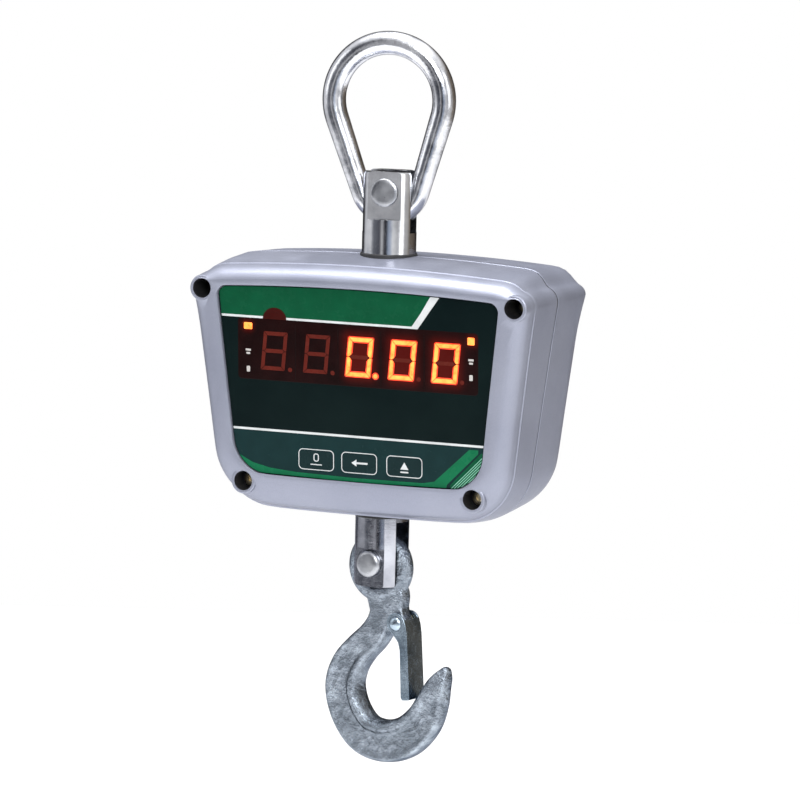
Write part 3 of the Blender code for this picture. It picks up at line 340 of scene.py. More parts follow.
PAINT = case_paint()
WIRE = polished_wire()
FORGED = forged_zinc()
CHROME = plated("bright_plating", (0.50, 0.51, 0.53), (0.70, 0.71, 0.73), (0.08, 0.18))
# Painted shade: a darker copy of the same fork plating, for the lower fork that hangs under the case.
SHADED_CHROME = plated("plating_painted_shade", (0.24, 0.25, 0.28), (0.40, 0.41, 0.45), (0.12, 0.24))
PIN_STEEL = plated("pin_steel", (0.26, 0.27, 0.29), (0.46, 0.47, 0.49), (0.24, 0.40))
BLUE_ZINC = plated("blue_zinc", (0.17, 0.22, 0.27), (0.38, 0.46, 0.53), (0.16, 0.32))
SCREW_STEEL = plated("screw_steel", (0.46, 0.38, 0.24), (0.72, 0.64, 0.46), (0.22, 0.38))
ALUMINIUM = plated("cell_aluminium", (0.60, 0.61, 0.62), (0.76, 0.77, 0.78), (0.26, 0.42))
RUBBER = blended("black_rubber", (0.012, 0.012, 0.013), (0.030, 0.030, 0.033), rough=(0.6, 0.8),
                 depth=0.00005)
PLASTIC = blended("black_plastic", (0.014, 0.014, 0.016), (0.032, 0.032, 0.036), rough=(0.38, 0.55),
                  depth=0.00003)
BOARD = blended("board_green", (0.008, 0.09, 0.035), (0.02, 0.17, 0.07), rough=(0.3, 0.45))
WRAP = blended("battery_wrap", (0.02, 0.07, 0.24), (0.04, 0.12, 0.36), rough=(0.25, 0.4))
# Painted shade: a near-black finish for the walls of the deep screw bores, standing for the shade inside
# them; the real bore walls carry the case paint.
BORE_SHADE = blended("painted_bore_shade", (0.010, 0.010, 0.012), (0.022, 0.022, 0.025), rough=(0.45, 0.6),
                 depth=0.00003)
SHEATH = blended("cable_sheath", (0.03, 0.03, 0.032), (0.07, 0.07, 0.075), rough=(0.45, 0.6))
FILM = blended(
    "overlay_film", (0.0018, 0.0055, 0.0058), (0.0030, 0.0080, 0.0080), scale=30, rough=(0.16, 0.24),
    depth=0.000008, fine=500, ior=1.14)
FILM_LOWER = printed("overlay_lower", (0.006, 0.022, 0.023), 0.22)
FILM_KEY = printed("key_film", (0.007, 0.019, 0.020), 0.24)
GREEN = printed("green_ink", (0.003, 0.062, 0.026))
PALE_GREEN = printed("pale_green_ink", (0.20, 0.48, 0.34), 0.3)
WHITE = printed("white_ink", (0.52, 0.54, 0.54), 0.30)
BRIGHT_GREEN = printed("bright_green_ink", (0.006, 0.115, 0.048))
RED_WINDOW = printed("receiver_film", (0.035, 0.005, 0.004), 0.16)
UNLIT = printed("unlit_segment", (0.085, 0.012, 0.008), 0.25)
SEAM = printed("module_seam", (0.006, 0.002, 0.002), 0.3)
MARK = printed("mark_ink", (0.42, 0.40, 0.38), 0.3)
LIT = glowing("lit_segment", (1.0, 0.27, 0.045), (1.0, 0.16, 0.020), 1.25)
FLARE = glowing("lit_flare", (0.85, 0.045, 0.008), (0.65, 0.022, 0.005), 0.75)
WINDOW = window_film()
PAPER = blended("floor_paper", (0.93, 0.93, 0.93), (0.95, 0.95, 0.95), scale=40, rough=(0.7, 0.9),
                depth=0.00005)


# ---- shape helpers
def piece(name, mesh, material, body, place=None, replaces=(), angle=35, keep_flat=False):
    """A finished object in its frame, shaded, riding on its body and standing for its CAD nodes."""
    obj = bpy.data.objects.new(name, mesh)
    bpy.context.scene.collection.objects.link(obj)
    obj.matrix_world = CASE if place is None else place
    mesh.materials.clear()
    mesh.materials.append(material)
    if not keep_flat:
        mesh.shade_smooth()
        mesh.set_sharp_from_angle(angle=math.radians(angle))
    bpy.context.view_layer.update()
    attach(obj, body)
    if replaces:
        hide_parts(*replaces)
    return obj


def mesh_from(name, build):
    mesh = bpy.data.meshes.new(name)
    form = bmesh.new()
    build(form)
    bmesh.ops.recalc_face_normals(form, faces=form.faces)
    form.to_mesh(mesh)
    form.free()
    return mesh


def lathe(name, profile, steps=72, along=None):
    """Turns (radius, height) points about Z. Points on the axis close the ends."""
    def build(form):
        rings = []
        for radius, height in profile:
            if radius < 1e-7:
                rings.append([form.verts.new((0, 0, height))])
                continue
            turns = [math.tau * i / steps for i in range(steps)]
            rings.append([
                form.verts.new((radius * math.cos(turn), radius * math.sin(turn), height)) for turn in turns
            ])
        for near, far in zip(rings, rings[1:]):
            for i in range(steps):
                j = (i + 1) % steps
                corners = [near[i % len(near)], near[j % len(near)], far[j % len(far)], far[i % len(far)]]
                unique = list(dict.fromkeys(corners))
                if len(unique) > 2:
                    form.faces.new(unique)
        if along is not None:
            bmesh.ops.transform(form, matrix=along, verts=form.verts)
    return mesh_from(name, build)


def skin(name, sections, close_ends=True):
    """A skin over closed rings that have equally many points."""
    def build(form):
        rings = [[form.verts.new(point) for point in ring] for ring in sections]
        count = len(rings[0])
        for near, far in zip(rings, rings[1:]):
            for i in range(count):
                j = (i + 1) % count
                form.faces.new((near[i], near[j], far[j], far[i]))
        if close_ends:
            form.faces.new(rings[0])
            form.faces.new(list(reversed(rings[-1])))
    return mesh_from(name, build)


def slab(name, outline, near, far):
    """An outline in X and Z given thickness along Y."""
    return skin(name, [[(x, y, z) for x, z in outline] for y in (near, far)])


def curve_through(knots, per_span):
    """Catmull-Rom points through the knots, spaced by chord so that uneven spacing stays smooth."""
    knots = [Vector(k) for k in knots]
    padded = [2 * knots[0] - knots[1], *knots, 2 * knots[-1] - knots[-2]]
    path = []
    for a, b, c, d in zip(padded, padded[1:], padded[2:], padded[3:]):
        t1 = max((b - a).length, 1e-6) ** 0.5
        t2 = t1 + max((c - b).length, 1e-6) ** 0.5
        t3 = t2 + max((d - c).length, 1e-6) ** 0.5
        for step in range(per_span):
            t = t1 + (t2 - t1) * step / per_span
            p = a.lerp(b, t / t1)
            q = b.lerp(c, (t - t1) / (t2 - t1))
            r = c.lerp(d, (t - t2) / (t3 - t2))
            path.append(p.lerp(q, t / t2).lerp(q.lerp(r, (t - t1) / (t3 - t1)), (t - t1) / (t2 - t1)))
    path.append(knots[-1])
    return path


def wire_ring(centre, outward, radius, count):
    """A round section, in the plane of outward and Y, of a bar that runs round in the plane of X and Z."""
    sideways = Vector((0, 1, 0))
    turns = [math.tau * k / count for k in range(count)]
    return [
        centre + outward * radius * math.cos(turn) + sideways * radius * math.sin(turn) for turn in turns
    ]


def arc(centre, radius, start, end, steps):
    """Points round a centre in X and Z, from one angle to another in degrees, ends included."""
    turns = [math.radians(start + (end - start) * step / steps) for step in range(steps + 1)]
    return [(centre[0] + radius * math.cos(turn), centre[1] + radius * math.sin(turn)) for turn in turns]


def bevel(obj, width, segments=3, angle=35):
    modifier = obj.modifiers.new("edges", "BEVEL")
    modifier.width = width
    modifier.segments = segments
    modifier.limit_method = "ANGLE"
    modifier.angle_limit = math.radians(angle)
    modifier.harden_normals = True
    return modifier


def cutter(name, mesh, place):
    obj = bpy.data.objects.new(name, mesh)
    bpy.context.scene.collection.objects.link(obj)
    obj.matrix_world = place
    bpy.context.view_layer.update()
    return obj


def finished_mesh(name, work):
    """The mesh that a helper object's modifiers give. The helper is then removed."""
    bpy.context.view_layer.update()
    mesh = bpy.data.meshes.new_from_object(work.evaluated_get(bpy.context.evaluated_depsgraph_get()))
    mesh.name = name
    bpy.data.objects.remove(work, do_unlink=True)
    return mesh


def carved(name, mesh, place, cutters, operation="DIFFERENCE"):
    """The mesh after Booleans with the cutters, which are then removed."""
    work = cutter(name, mesh, place)
    for tool in cutters:
        modifier = work.modifiers.new("cut", "BOOLEAN")
        modifier.object = tool
        modifier.operation = operation
        modifier.solver = "EXACT"
    result = finished_mesh(name, work)
    for tool in cutters:
        bpy.data.objects.remove(tool, do_unlink=True)
    return result


def round_rect(centre, half, radius, per_corner=6):
    outline = []
    for quarter, (sx, sz) in enumerate(((1, 1), (-1, 1), (-1, -1), (1, -1))):
        for step in range(per_corner + 1):
            angle = math.pi / 2 * (quarter + step / per_corner)
            outline.append((
                centre[0] + sx * (half[0] - radius) + radius * math.cos(angle),
                centre[1] + sz * (half[1] - radius) + radius * math.sin(angle),
            ))
    return outline


# ---- case
def side_at(z):
    """X of the case's sloping side at a height."""
    return 0.0819 + 0.13 * z


def soften(points, passes):
    """Averages each point with its neighbours round a closed outline."""
    for _ in range(passes):
        count = len(points)
        points = [
            ((points[i - 1][0] + 2 * points[i][0] + points[(i + 1) % count][0]) / 4,
             (points[i - 1][1] + 2 * points[i][1] + points[(i + 1) % count][1]) / 4)
            for i in range(count)
        ]
    return points


def bowed_edge(height, half_width, bow):
    """The right half of a bowed top edge, outwards from the middle."""
    steps = 20
    reach = [half_width * step / steps for step in range(steps + 1)]
    return [(x, height - bow * x ** 2) for x in reach]


def mirrored(half, foot):
    """A closed outline from its right half, which starts on the middle line, and the height of its foot."""
    return half + [(0, foot)] + [(-x, z) for x, z in reversed(half[1:])]


def case_outline(top, bottom, inset=0.0, corner_inset=0.0):
    """Crowned top, cut corners with round screw bosses, sloping sides and a round foot."""
    half = bowed_edge(top, 0.0782 - inset * 0.6, 0.51)
    boss = arc((0.0806, 0.0466), 0.0075 - (inset - corner_inset), 75, -10, 14)
    last = half[-1]
    for share, sag in ((0.4, 0.0008), (0.65, 0.0007)):
        half.append((
            last[0] * (1 - share) + boss[0][0] * share,
            last[1] * (1 - share) + boss[0][1] * share - sag,
        ))
    half.extend(boss)
    for step in range(12):
        z = 0.033 - 0.045 * step / 11
        half.append((side_at(z) - inset, z))
    foot_z = bottom + 0.030
    half.extend(arc((side_at(foot_z) - 0.030, foot_z), 0.030 - inset, -5, -88, 16))
    half.extend((x, bottom + inset - 0.0004) for x in (0.034, 0.022, 0.010))
    return soften(mirrored(half, bottom + inset - 0.0005), 2)


def panel_side_at(z):
    return PANEL_SIDE_X + PANEL_SIDE_SLOPE * z


def panel_outline(grow=0.0):
    """The recess round the display film, with as many points as the case's outline."""
    corner_radius, corner_z = 0.0050, 0.0436
    foot_radius, foot_z = 0.0190, -0.0240
    half = bowed_edge(0.0505 + grow, 0.0665, 0.42)
    half.extend(arc((panel_side_at(corner_z) - corner_radius, corner_z), corner_radius + grow, 72, 4, 16))
    for step in range(12):
        z = 0.038 - 0.050 * step / 11
        half.append((panel_side_at(z) + grow, z))
    half.extend(arc((panel_side_at(foot_z) - foot_radius, foot_z), foot_radius + grow, -4, -88, 16))
    half.extend((x, -0.0432 - grow) for x in (0.030, 0.020, 0.010))
    return mirrored(half, -0.0434 - grow)


def front_at(z):
    """Y of the leaning front face at a height."""
    return FRONT_Y - math.tan(LEAN) * z


def front_plane(outline, depth):
    """An outline in X and Z laid on the leaning front face, or a depth behind it."""
    return [(x, front_at(z) + depth, z) for x, z in outline]


def upright(outline, y):
    """An outline in X and Z as points at one Y."""
    return [(x, y, z) for x, z in outline]


def smooth_sections(sections, per_span):
    """Adds rings between the given ones along smooth columns."""
    columns = [curve_through([ring[i] for ring in sections], per_span) for i in range(len(sections[0]))]
    return [[column[k] for column in columns] for k in range(len(columns[0]))]


def screw_places():
    return [(side * x, z) for x, z in SCREWS for side in (-1, 1)]


def barrel_holes():
    """Cutters for the barrels: the top is opened, and the bottom is only scored round its barrel."""
    profile = [(0, 0.08), (BARREL_OPENING, 0.08), (BARREL_OPENING, 0.04), (0, 0.04)]
    above = lathe("barrel", profile, 72)
    below = lathe("barrel", profile, 72, Matrix.Scale(-1, 4, (0, 0, 1)))
    # Inside out, this one leaves the skin whole within its circle, where the lower barrel passes through it
    below.flip_normals()
    return [cutter("barrel", below, CASE), cutter("barrel", above, CASE)]


def back_holes(name, radius, places, depth, steps):
    """Cutters that reach into the back of the case, down to a depth measured along Y."""
    profile = [(0, 0.06), (radius, 0.06), (radius, depth), (0, depth)]
    turns = [Matrix.Translation((x, 0, z)) @ REARWARD for x, z in places]
    return [cutter(name, lathe(name, profile, steps, turn), CASE) for turn in turns]


def make_front():
    shoulder = smooth_sections([
        upright(case_outline(0.0645, -0.0618), -0.0009),
        upright(case_outline(0.0640, -0.0613), -0.0080),
        upright(case_outline(0.0632, -0.0606), -0.0160),
        front_plane(case_outline(0.0612, -0.0597), 0.0105),
    ], 6)
    shoulder += smooth_sections([front_plane(case_outline(*size), depth) for depth, *size in (
        (0.0101, 0.0607, -0.0593, 0.0004, 0.0002),
        (0.0078, 0.0601, -0.0588, 0.0006, 0.0003),
        (0.0048, 0.0589, -0.0580, 0.0014, 0.0006),
        (0.0022, 0.0570, -0.0556, 0.0034, 0.0018),
        (0.0007, 0.0552, -0.0534, 0.0058, 0.0036),
        (0.0001, 0.0540, -0.0520, 0.0076, 0.0049),
    )], 6)
    lip = upright(case_outline(0.0643, -0.0616, 0.0002, 0.0001), -PARTING)
    rim = front_plane(case_outline(0.0530, -0.0510, 0.0088, 0.0060), 0.0)
    recess = [
        front_plane(panel_outline(0.0006), 0.0),
        front_plane(panel_outline(0.0002), 0.00012),
        front_plane(panel_outline(0.0), 0.0005),
        front_plane(panel_outline(0.0), RECESS_FLOOR),
    ]
    mesh = skin("case_front", [lip] + shoulder + [rim] + recess)
    bosses, tools = [], []
    for x, z in screw_places():
        depth = front_at(z)
        floor = depth - SCREW_FLOOR_Y
        turn = Matrix.Translation((x, depth, z)) @ ACROSS
        boss = [
            (0, -0.0003), (0.0058, -0.0003), (0.0063, -0.0006), (0.0065, -0.0012),
            (0.0066, -0.0100), (0, -0.0100),
        ]
        bore = [
            (0, 0.02), (0.0051, 0.02), (0.0051, 0.0004), (SCREW_BORE, -0.0002),
            (SCREW_BORE, floor), (0, floor),
        ]
        bosses.append(cutter("boss", lathe("boss", boss, 48, turn), CASE))
        tools.append(cutter("bore", lathe("bore", bore, 48, turn), CASE))
    mesh = carved("case_front", mesh, CASE, bosses, "UNION")
    mesh = carved("case_front", mesh, CASE, tools + barrel_holes())
    piece("case_front", mesh, PAINT, "scale", CASE, ("front_shell",), angle=28)
    # Faces inside the screw bores take the near-black finish: painted shade deep in the bores.
    mesh.materials.append(BORE_SHADE)
    for face in mesh.polygons:
        x, y, z = face.center
        away = min(math.hypot(x - place[0], z - place[1]) for place in screw_places())
        if away < SCREW_BORE + 0.00015 and y > front_at(z) + 0.0006:
            face.material_index = 1


def make_back():
    body = smooth_sections([upright(case_outline(*size), y) for y, *size in (
        (0.0009, 0.0645, -0.0618),
        (0.0100, 0.0642, -0.0616, 0.0003),
        (0.0200, 0.0638, -0.0612, 0.0006),
        (0.0360, 0.0631, -0.0605, 0.0018, 0.0006),
        (0.0430, 0.0618, -0.0592, 0.0045, 0.0020),
        (BACK_Y, 0.0600, -0.0574, 0.0085, 0.0045),
    )], 6)
    lip = upright(case_outline(0.0643, -0.0616, 0.0002, 0.0001), PARTING)
    mesh = skin("case_back", [lip] + body)
    recess = slab("door_recess", round_rect((0, 0), (0.0380, 0.0230), 0.0016), BACK_Y - 0.0014, BACK_Y + 0.01)
    cover_places = [(side * COVER_SCREW_X, 0) for side in (-1, 1)]
    tools = [cutter("door_recess", recess, CASE)]
    tools += back_holes("socket_hole", 0.0046, [(SOCKET_X, SOCKET_Z)], 0.030, 48)
    tools += back_holes("cover_hole", 0.0017, cover_places, 0.036, 24)
    tools += barrel_holes()
    mesh = carved("case_back", mesh, CASE, tools)
    piece("case_back", mesh, PAINT, "scale", CASE, ("rear_shell",), angle=28)
    door = slab("battery_door", round_rect((0, 0), (0.0377, 0.0227), 0.0014), BACK_Y - 0.0011, BACK_Y)
    door = carved("battery_door", door, CASE, back_holes("door_hole", 0.0019, cover_places, 0.036, 24))
    bevel(piece("battery_door", door, PAINT, "scale", CASE, ("battery_cover",)), 0.0003, 2)


def make_gaskets():
    """The rubber strip seen in the parting gap, one piece each side of the load line."""
    outer = case_outline(0.0641, -0.0614, 0.0004, 0.0002)
    inner = case_outline(0.0620, -0.0593, 0.0026, 0.0012)
    for side, word in ((1, "right"), (-1, "left")):
        keep = [i for i in range(len(outer)) if side * outer[i][0] > 0.0155]
        paths = [outer[i] for i in keep], [inner[i] for i in keep]
        mesh = mesh_from("gasket_" + word, lambda form: strip(form, *paths))
        piece("gasket_" + word, mesh, RUBBER, "scale", CASE, ("case_gasket_" + word,))


def strip(form, outer, inner):
    """A flat strip 0.8 mm thick between two open paths in X and Z."""
    rings = [
        [form.verts.new((p[0], y, p[1])) for p, y in ((a, -0.0004), (a, 0.0004), (b, 0.0004), (b, -0.0004))]
        for a, b in zip(outer, inner)
    ]
    for near, far in zip(rings, rings[1:]):
        for k in range(4):
            form.faces.new((near[k], near[(k + 1) % 4], far[(k + 1) % 4], far[k]))
    form.faces.new(rings[0])
    form.faces.new(rings[-1])


def make_screws():
    """Pan-head screws with a six-sided socket, deep in the case's recesses and on the battery door."""
    case_words = ("top_left", "top_right", "bottom_left", "bottom_right")
    for word, (x, z) in zip(case_words, screw_places()):
        make_screw("case_screw_" + word, Matrix.Translation((x, -0.0220, z)) @ ACROSS, 0.0037, 0.0022)
    for side, word in ((-1, "left"), (1, "right")):
        place = Matrix.Translation((side * COVER_SCREW_X, BACK_Y + 0.0003, 0))
        make_screw("cover_screw_" + word, place @ REARWARD, 0.0026, 0.0018)


def make_screw(node, turn, radius, height):
    """A domed head with a socket, and a short stretch of shank under it."""
    slopes = [math.radians(a) for a in (20, 40, 60, 78)]
    profile = [(0, height)]
    profile += [(radius * math.sin(a) ** 0.8, height * (0.45 + 0.55 * math.cos(a))) for a in slopes]
    shank = radius * 0.55
    profile += [(radius, height * 0.35), (radius, 0.0), (shank, 0.0), (shank, -0.004), (0, -0.004)]
    key, floor, over = radius * 0.42, height * 0.42, height + 0.002
    socket = lathe("socket", [(0, over), (key, over), (key, floor), (0, floor)], 6, turn)
    name = node + "_head"
    mesh = carved(name, lathe(name, profile, 40, turn), CASE, [cutter("socket", socket, CASE)])
    piece(name, mesh, SCREW_STEEL, "scale", CASE, (node,), angle=30)


# ---- display film
def clipped(subject, boundary):
    """The part of a polygon inside a convex boundary that runs clockwise or anticlockwise."""
    area = sum(a[0] * b[1] - b[0] * a[1] for a, b in zip(boundary, boundary[1:] + boundary[:1]))
    turn = 1 if area > 0 else -1
    for a, b in zip(boundary, boundary[1:] + boundary[:1]):
        def side(p):
            return turn * ((b[0] - a[0]) * (p[1] - a[1]) - (b[1] - a[1]) * (p[0] - a[0]))
        kept = []
        for p, q in zip(subject, subject[1:] + subject[:1]):
            in_p, in_q = side(p), side(q)
            if in_p >= 0:
                kept.append(p)
            if (in_p > 0 > in_q) or (in_p < 0 < in_q):
                share = in_p / (in_p - in_q)
                kept.append((p[0] + (q[0] - p[0]) * share, p[1] + (q[1] - p[1]) * share))
        subject = kept
        if not subject:
            return []
    return subject


def millimetres(points):
    """Points given in millimetres, in the script's metres."""
    return [(x / 1000, z / 1000) for x, z in points]


def ink(name, outlines, material, layer, body="scale", front=OVERLAY_FRONT, limit=None):
    """Printed areas as a thin film, one layer step in front of the last."""
    near = front - PRINT_STEP * layer
    far = near + PRINT_STEP * 0.8

    def build(form):
        for outline in outlines:
            if limit is not None:
                outline = clipped(outline, limit)
            if len(outline) < 3:
                continue
            back = [form.verts.new((x, far, z)) for x, z in outline]
            face = [form.verts.new((x, near, z)) for x, z in outline]
            form.faces.new(face)
            form.faces.new(list(reversed(back)))
            for i in range(len(outline)):
                j = (i + 1) % len(outline)
                form.faces.new((face[i], face[j], back[j], back[i]))
    return piece(name, mesh_from(name, build), material, body, PANEL, keep_flat=True)


def make_film():
    edge = panel_outline(-0.0003)
    film = slab("display_film", edge, OVERLAY_FRONT, OVERLAY_FRONT + 0.0008)
    film = piece("display_film", film, FILM, "scale", PANEL, ("overlay_panel",))
    bevel(film, 0.0001, 2)
    inside = panel_outline(-0.0005)
    for name, outline, material, layer in (
        ("header_band", [(-80, 34.2), (31, 34.2), (42, 55), (-80, 55)], GREEN, 1),
        ("header_line", [(-80, 33.5), (29.5, 33.5), (29.5, 34.6), (-80, 34.6)], WHITE, 2),
        ("header_slant", [(27.6, 33.5), (31.4, 33.5), (44.5, 52), (39.5, 52), (33, 41.2)], WHITE, 3),
        ("lower_zone", [(-90, -21.4), (90, -21.4), (90, -60), (-90, -60)], FILM_LOWER, 1),
        ("lower_line", [(-90, -20.2), (90, -20.2), (90, -21.3), (-90, -21.3)], WHITE, 2),
    ):
        ink(name, [millimetres(outline)], material, layer, limit=inside)
    for i, patch in enumerate(green_sweep()):
        ink(f"green_sweep_{i + 1}", [patch], BRIGHT_GREEN, 3, limit=inside)
    corner = millimetres([(63.6, -24.4), (64.5, -24.0), (80, -24.0), (80, -60), (46, -60), (48.2, -40.4)])
    corner = clipped(corner, inside)
    ink("corner_patch", [corner], GREEN, 2)
    bars = []
    bar_count, first_x, pitch = 14, 48.6, 1.35
    for i in range(bar_count):
        x = first_x + i * pitch
        bar = millimetres([(x, -42), (x + 0.45, -42), (x + 18.45, -24), (x + 18, -24)])
        bars.append(clipped(bar, corner))
    ink("corner_hatch", bars, PALE_GREEN, 4)


def green_sweep():
    """The sweep along the film's foot, as convex strips from its upper edge downwards, and its rising end."""
    upper = [
        (-70, -30), (-61, -34.2), (-55, -37.2), (-46, -39.2), (-32, -40.3), (0, -40.9), (34, -40.6),
        (40, -39.4),
    ]
    strips = [
        millimetres([near, far, (far[0], -50), (near[0], -50)]) for near, far in zip(upper, upper[1:])
    ]
    rise = [(40, -39.4), (58, -22.6), (62.5, -22.6), (62.5, -24.4), (46.5, -40.4), (44, -50), (40, -50)]
    return strips + [millimetres(rise)]


# ---- window and digits
def segment_outlines(x, z, half_width, half_height, bar, slant):
    """The seven bars of a digit with mitred ends, leaning with the digit."""
    gap = bar * 0.09
    left, right, top = -half_width, half_width, half_height
    upright_bar = [
        (left, top - gap), (left + bar, top - bar - gap), (left + bar, bar / 2 + gap), (left + bar / 2, gap),
        (left, gap),
    ]
    across_bar = [
        (left + gap, top), (right - gap, top), (right - bar - gap, top - bar), (left + bar + gap, top - bar),
    ]
    middle = [
        (left + bar / 2 + gap, 0), (left + bar + gap, bar / 2), (right - bar - gap, bar / 2),
        (right - bar / 2 - gap, 0), (right - bar - gap, -bar / 2), (left + bar + gap, -bar / 2),
    ]
    bars = {
        "a": across_bar, "b": [(-p, q) for p, q in upright_bar], "c": [(-p, -q) for p, q in upright_bar],
        "d": [(p, -q) for p, q in across_bar], "e": [(p, -q) for p, q in upright_bar], "f": upright_bar,
        "g": middle,
    }
    return {key: [(x + p + q * slant, z + q) for p, q in outline] for key, outline in bars.items()}


def disc(x, z, radius):
    count = 20
    turns = [math.tau * i / count for i in range(count)]
    return [(x + radius * math.cos(turn), z + radius * math.sin(turn)) for turn in turns]


def make_window():
    outline = round_rect((0, 0.0185), (0.0625, 0.0150), 0.0020)
    window = slab("digit_window", outline, WINDOW_FRONT, WINDOW_BACK)
    window = piece("digit_window", window, WINDOW, "scale", PANEL)
    bevel(window, 0.0002, 2)
    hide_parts("display_window")
    turns = [math.pi * i / 24 for i in range(25)]
    bump = [(-0.0430 + 0.0062 * math.cos(turn), 0.0334 + 0.0057 * math.sin(turn)) for turn in turns]
    receiver = slab("receiver_window", bump, OVERLAY_FRONT - 0.00016, WINDOW_BACK)
    piece("receiver_window", receiver, RED_WINDOW, "scale", PANEL)
    seam_x = [DIGIT_SHIFT + (i - 1.5) * DIGIT_PITCH for i in range(4)]
    seams = [round_rect((x, DIGIT_Z), (0.00022, 0.0132), 0.0001, 1) for x in seam_x]
    ink("module_seams", seams, SEAM, 1, front=WINDOW_FRONT)
    unlit, lit, halo = [], [], []
    for index in range(5):
        x = DIGIT_SHIFT + (index - 2) * DIGIT_PITCH
        bars = segment_outlines(x, DIGIT_Z, 0.0063, 0.0094, 0.0019, DIGIT_SLANT)
        wide = segment_outlines(x, DIGIT_Z, 0.0068, 0.0099, 0.0030, DIGIT_SLANT)
        shining = "abcdef" if index >= 2 else ""
        for key, bar in bars.items():
            (lit if key in shining else unlit).append(bar)
        halo.extend(wide[key] for key in shining)
        dot_x, dot_z = x + 0.0083, 0.0094
        (lit if index == 2 else unlit).append(disc(dot_x, dot_z, 0.0011))
        if index == 2:
            halo.append(disc(dot_x, dot_z, 0.0017))
    lit.append(round_rect((-0.0570, LAMP_Z), (0.0022, 0.0016), 0.0004, 2))
    lit.append(round_rect((0.0588, LAMP_Z), (0.0018, 0.0018), 0.0004, 2))
    ink("segment_glow", halo, FLARE, 1, front=WINDOW_FRONT)
    ink("unlit_segments", unlit, UNLIT, 2, front=WINDOW_FRONT)
    ink("lit_segments", lit, LIT, 3, front=WINDOW_FRONT)
    marks = []
    for x, z in ((-0.0570, 0.0178), (0.0588, 0.0205)):
        marks.append(round_rect((x, z), (0.0014, 0.0005), 0.0002, 1))
        marks.append(round_rect((x, z - 0.0016), (0.0010, 0.0005), 0.0002, 1))
    for x, z in ((-0.0570, 0.0085), (0.0588, 0.0120)):
        marks.append(round_rect((x, z), (0.0009, 0.0014), 0.0004, 2))
    ink("window_marks", marks, MARK, 2, front=WINDOW_FRONT)


# ---- keys
def framed(centre, half, radius, width):
    """A rounded rectangle drawn as a line, as four corner-to-corner strips."""
    outer = round_rect(centre, half, radius, 5)
    inner = round_rect(centre, (half[0] - width, half[1] - width), radius - width, 5)
    count = len(outer)
    return [[outer[i], outer[(i + 1) % count], inner[(i + 1) % count], inner[i]] for i in range(count)]


def key_mark(mark, x):
    """A nought over a bar, an arrow to the left, or an arrowhead over a bar."""
    if mark == "zero":
        low, high = KEY_Z - 0.0026, KEY_Z - 0.0021
        bar = [(x - 0.0030, low), (x + 0.0030, low), (x + 0.0030, high), (x - 0.0030, high)]
        return framed((x, KEY_Z + 0.0011), (0.0014, 0.0020), 0.0012, 0.0005) + [bar]
    if mark == "back":
        head = [(x - 0.0040, KEY_Z), (x - 0.0014, KEY_Z + 0.0017), (x - 0.0014, KEY_Z - 0.0017)]
        return [head, round_rect((x + 0.0015, KEY_Z), (0.0029, 0.00045), 0.0002, 1)]
    head = [(x - 0.0021, KEY_Z - 0.0013), (x + 0.0021, KEY_Z - 0.0013), (x, KEY_Z + 0.0022)]
    return [head, round_rect((x, KEY_Z - 0.0026), (0.0021, 0.00035), 0.0002, 1)]


def make_keys():
    for name, x, mark in zip(("zero_key", "mode_key", "off_key"), KEY_X, ("zero", "back", "up")):
        body = slab(name + "_film", round_rect((x, KEY_Z), KEY_HALF, KEY_ROUND), KEY_FRONT, 0.0031)
        bevel(piece(name + "_film", body, FILM_KEY, name, PANEL, (name,)), 0.00025, 3)
        border = framed((x, KEY_Z), (KEY_HALF[0] - 0.0001, KEY_HALF[1] - 0.0001), KEY_ROUND - 0.0001, 0.00038)
        ink(name + "_mark", border + key_mark(mark, x), WHITE, 1, body=name, front=KEY_FRONT)


# ---- ring, forks and pins
def make_ring():
    """A pear-shaped bar: a large arc over a small one, joined by straight flanks, thinner at the foot."""
    crown_r, foot_r, crown_wire, foot_wire = 0.0275, 0.0150, 0.0057, 0.0050
    inner_foot, inner_crown, flank_steps = 0.0063, 0.0656, 12
    foot_z = foot_r - inner_foot - foot_wire
    crown_z = inner_crown + crown_wire - crown_r
    lean = math.degrees(math.asin((crown_r - foot_r) / (crown_z - foot_z)))
    crown = [(Vector((x, 0, z)), crown_wire) for x, z in arc((0, crown_z), crown_r, -lean, 180 + lean, 60)]
    foot = [(Vector((x, 0, z)), foot_wire) for x, z in arc((0, foot_z), foot_r, 180 + lean, 360 - lean, 32)]
    knots = []
    for bend, following in ((crown, foot), (foot, crown)):
        (start, start_wire), (end, end_wire) = bend[-1], following[0]
        knots += bend
        for step in range(1, flank_steps):
            share = step / flank_steps
            knots.append((start.lerp(end, share), start_wire + (end_wire - start_wire) * share))
    sections = []
    for i, (point, wire) in enumerate(knots):
        along = (knots[(i + 1) % len(knots)][0] - knots[i - 1][0]).normalized()
        sections.append(wire_ring(point, Vector((-along.z, 0, along.x)), wire, 28))
    mesh = skin("hanging_ring", sections + [sections[0]], close_ends=False)
    form = bmesh.new()
    form.from_mesh(mesh)
    bmesh.ops.remove_doubles(form, verts=form.verts, dist=0.000001)
    form.to_mesh(mesh)
    form.free()
    mesh.transform(RING)
    piece("hanging_ring", mesh, WIRE, "ring", Matrix(), ("suspension_ring",))


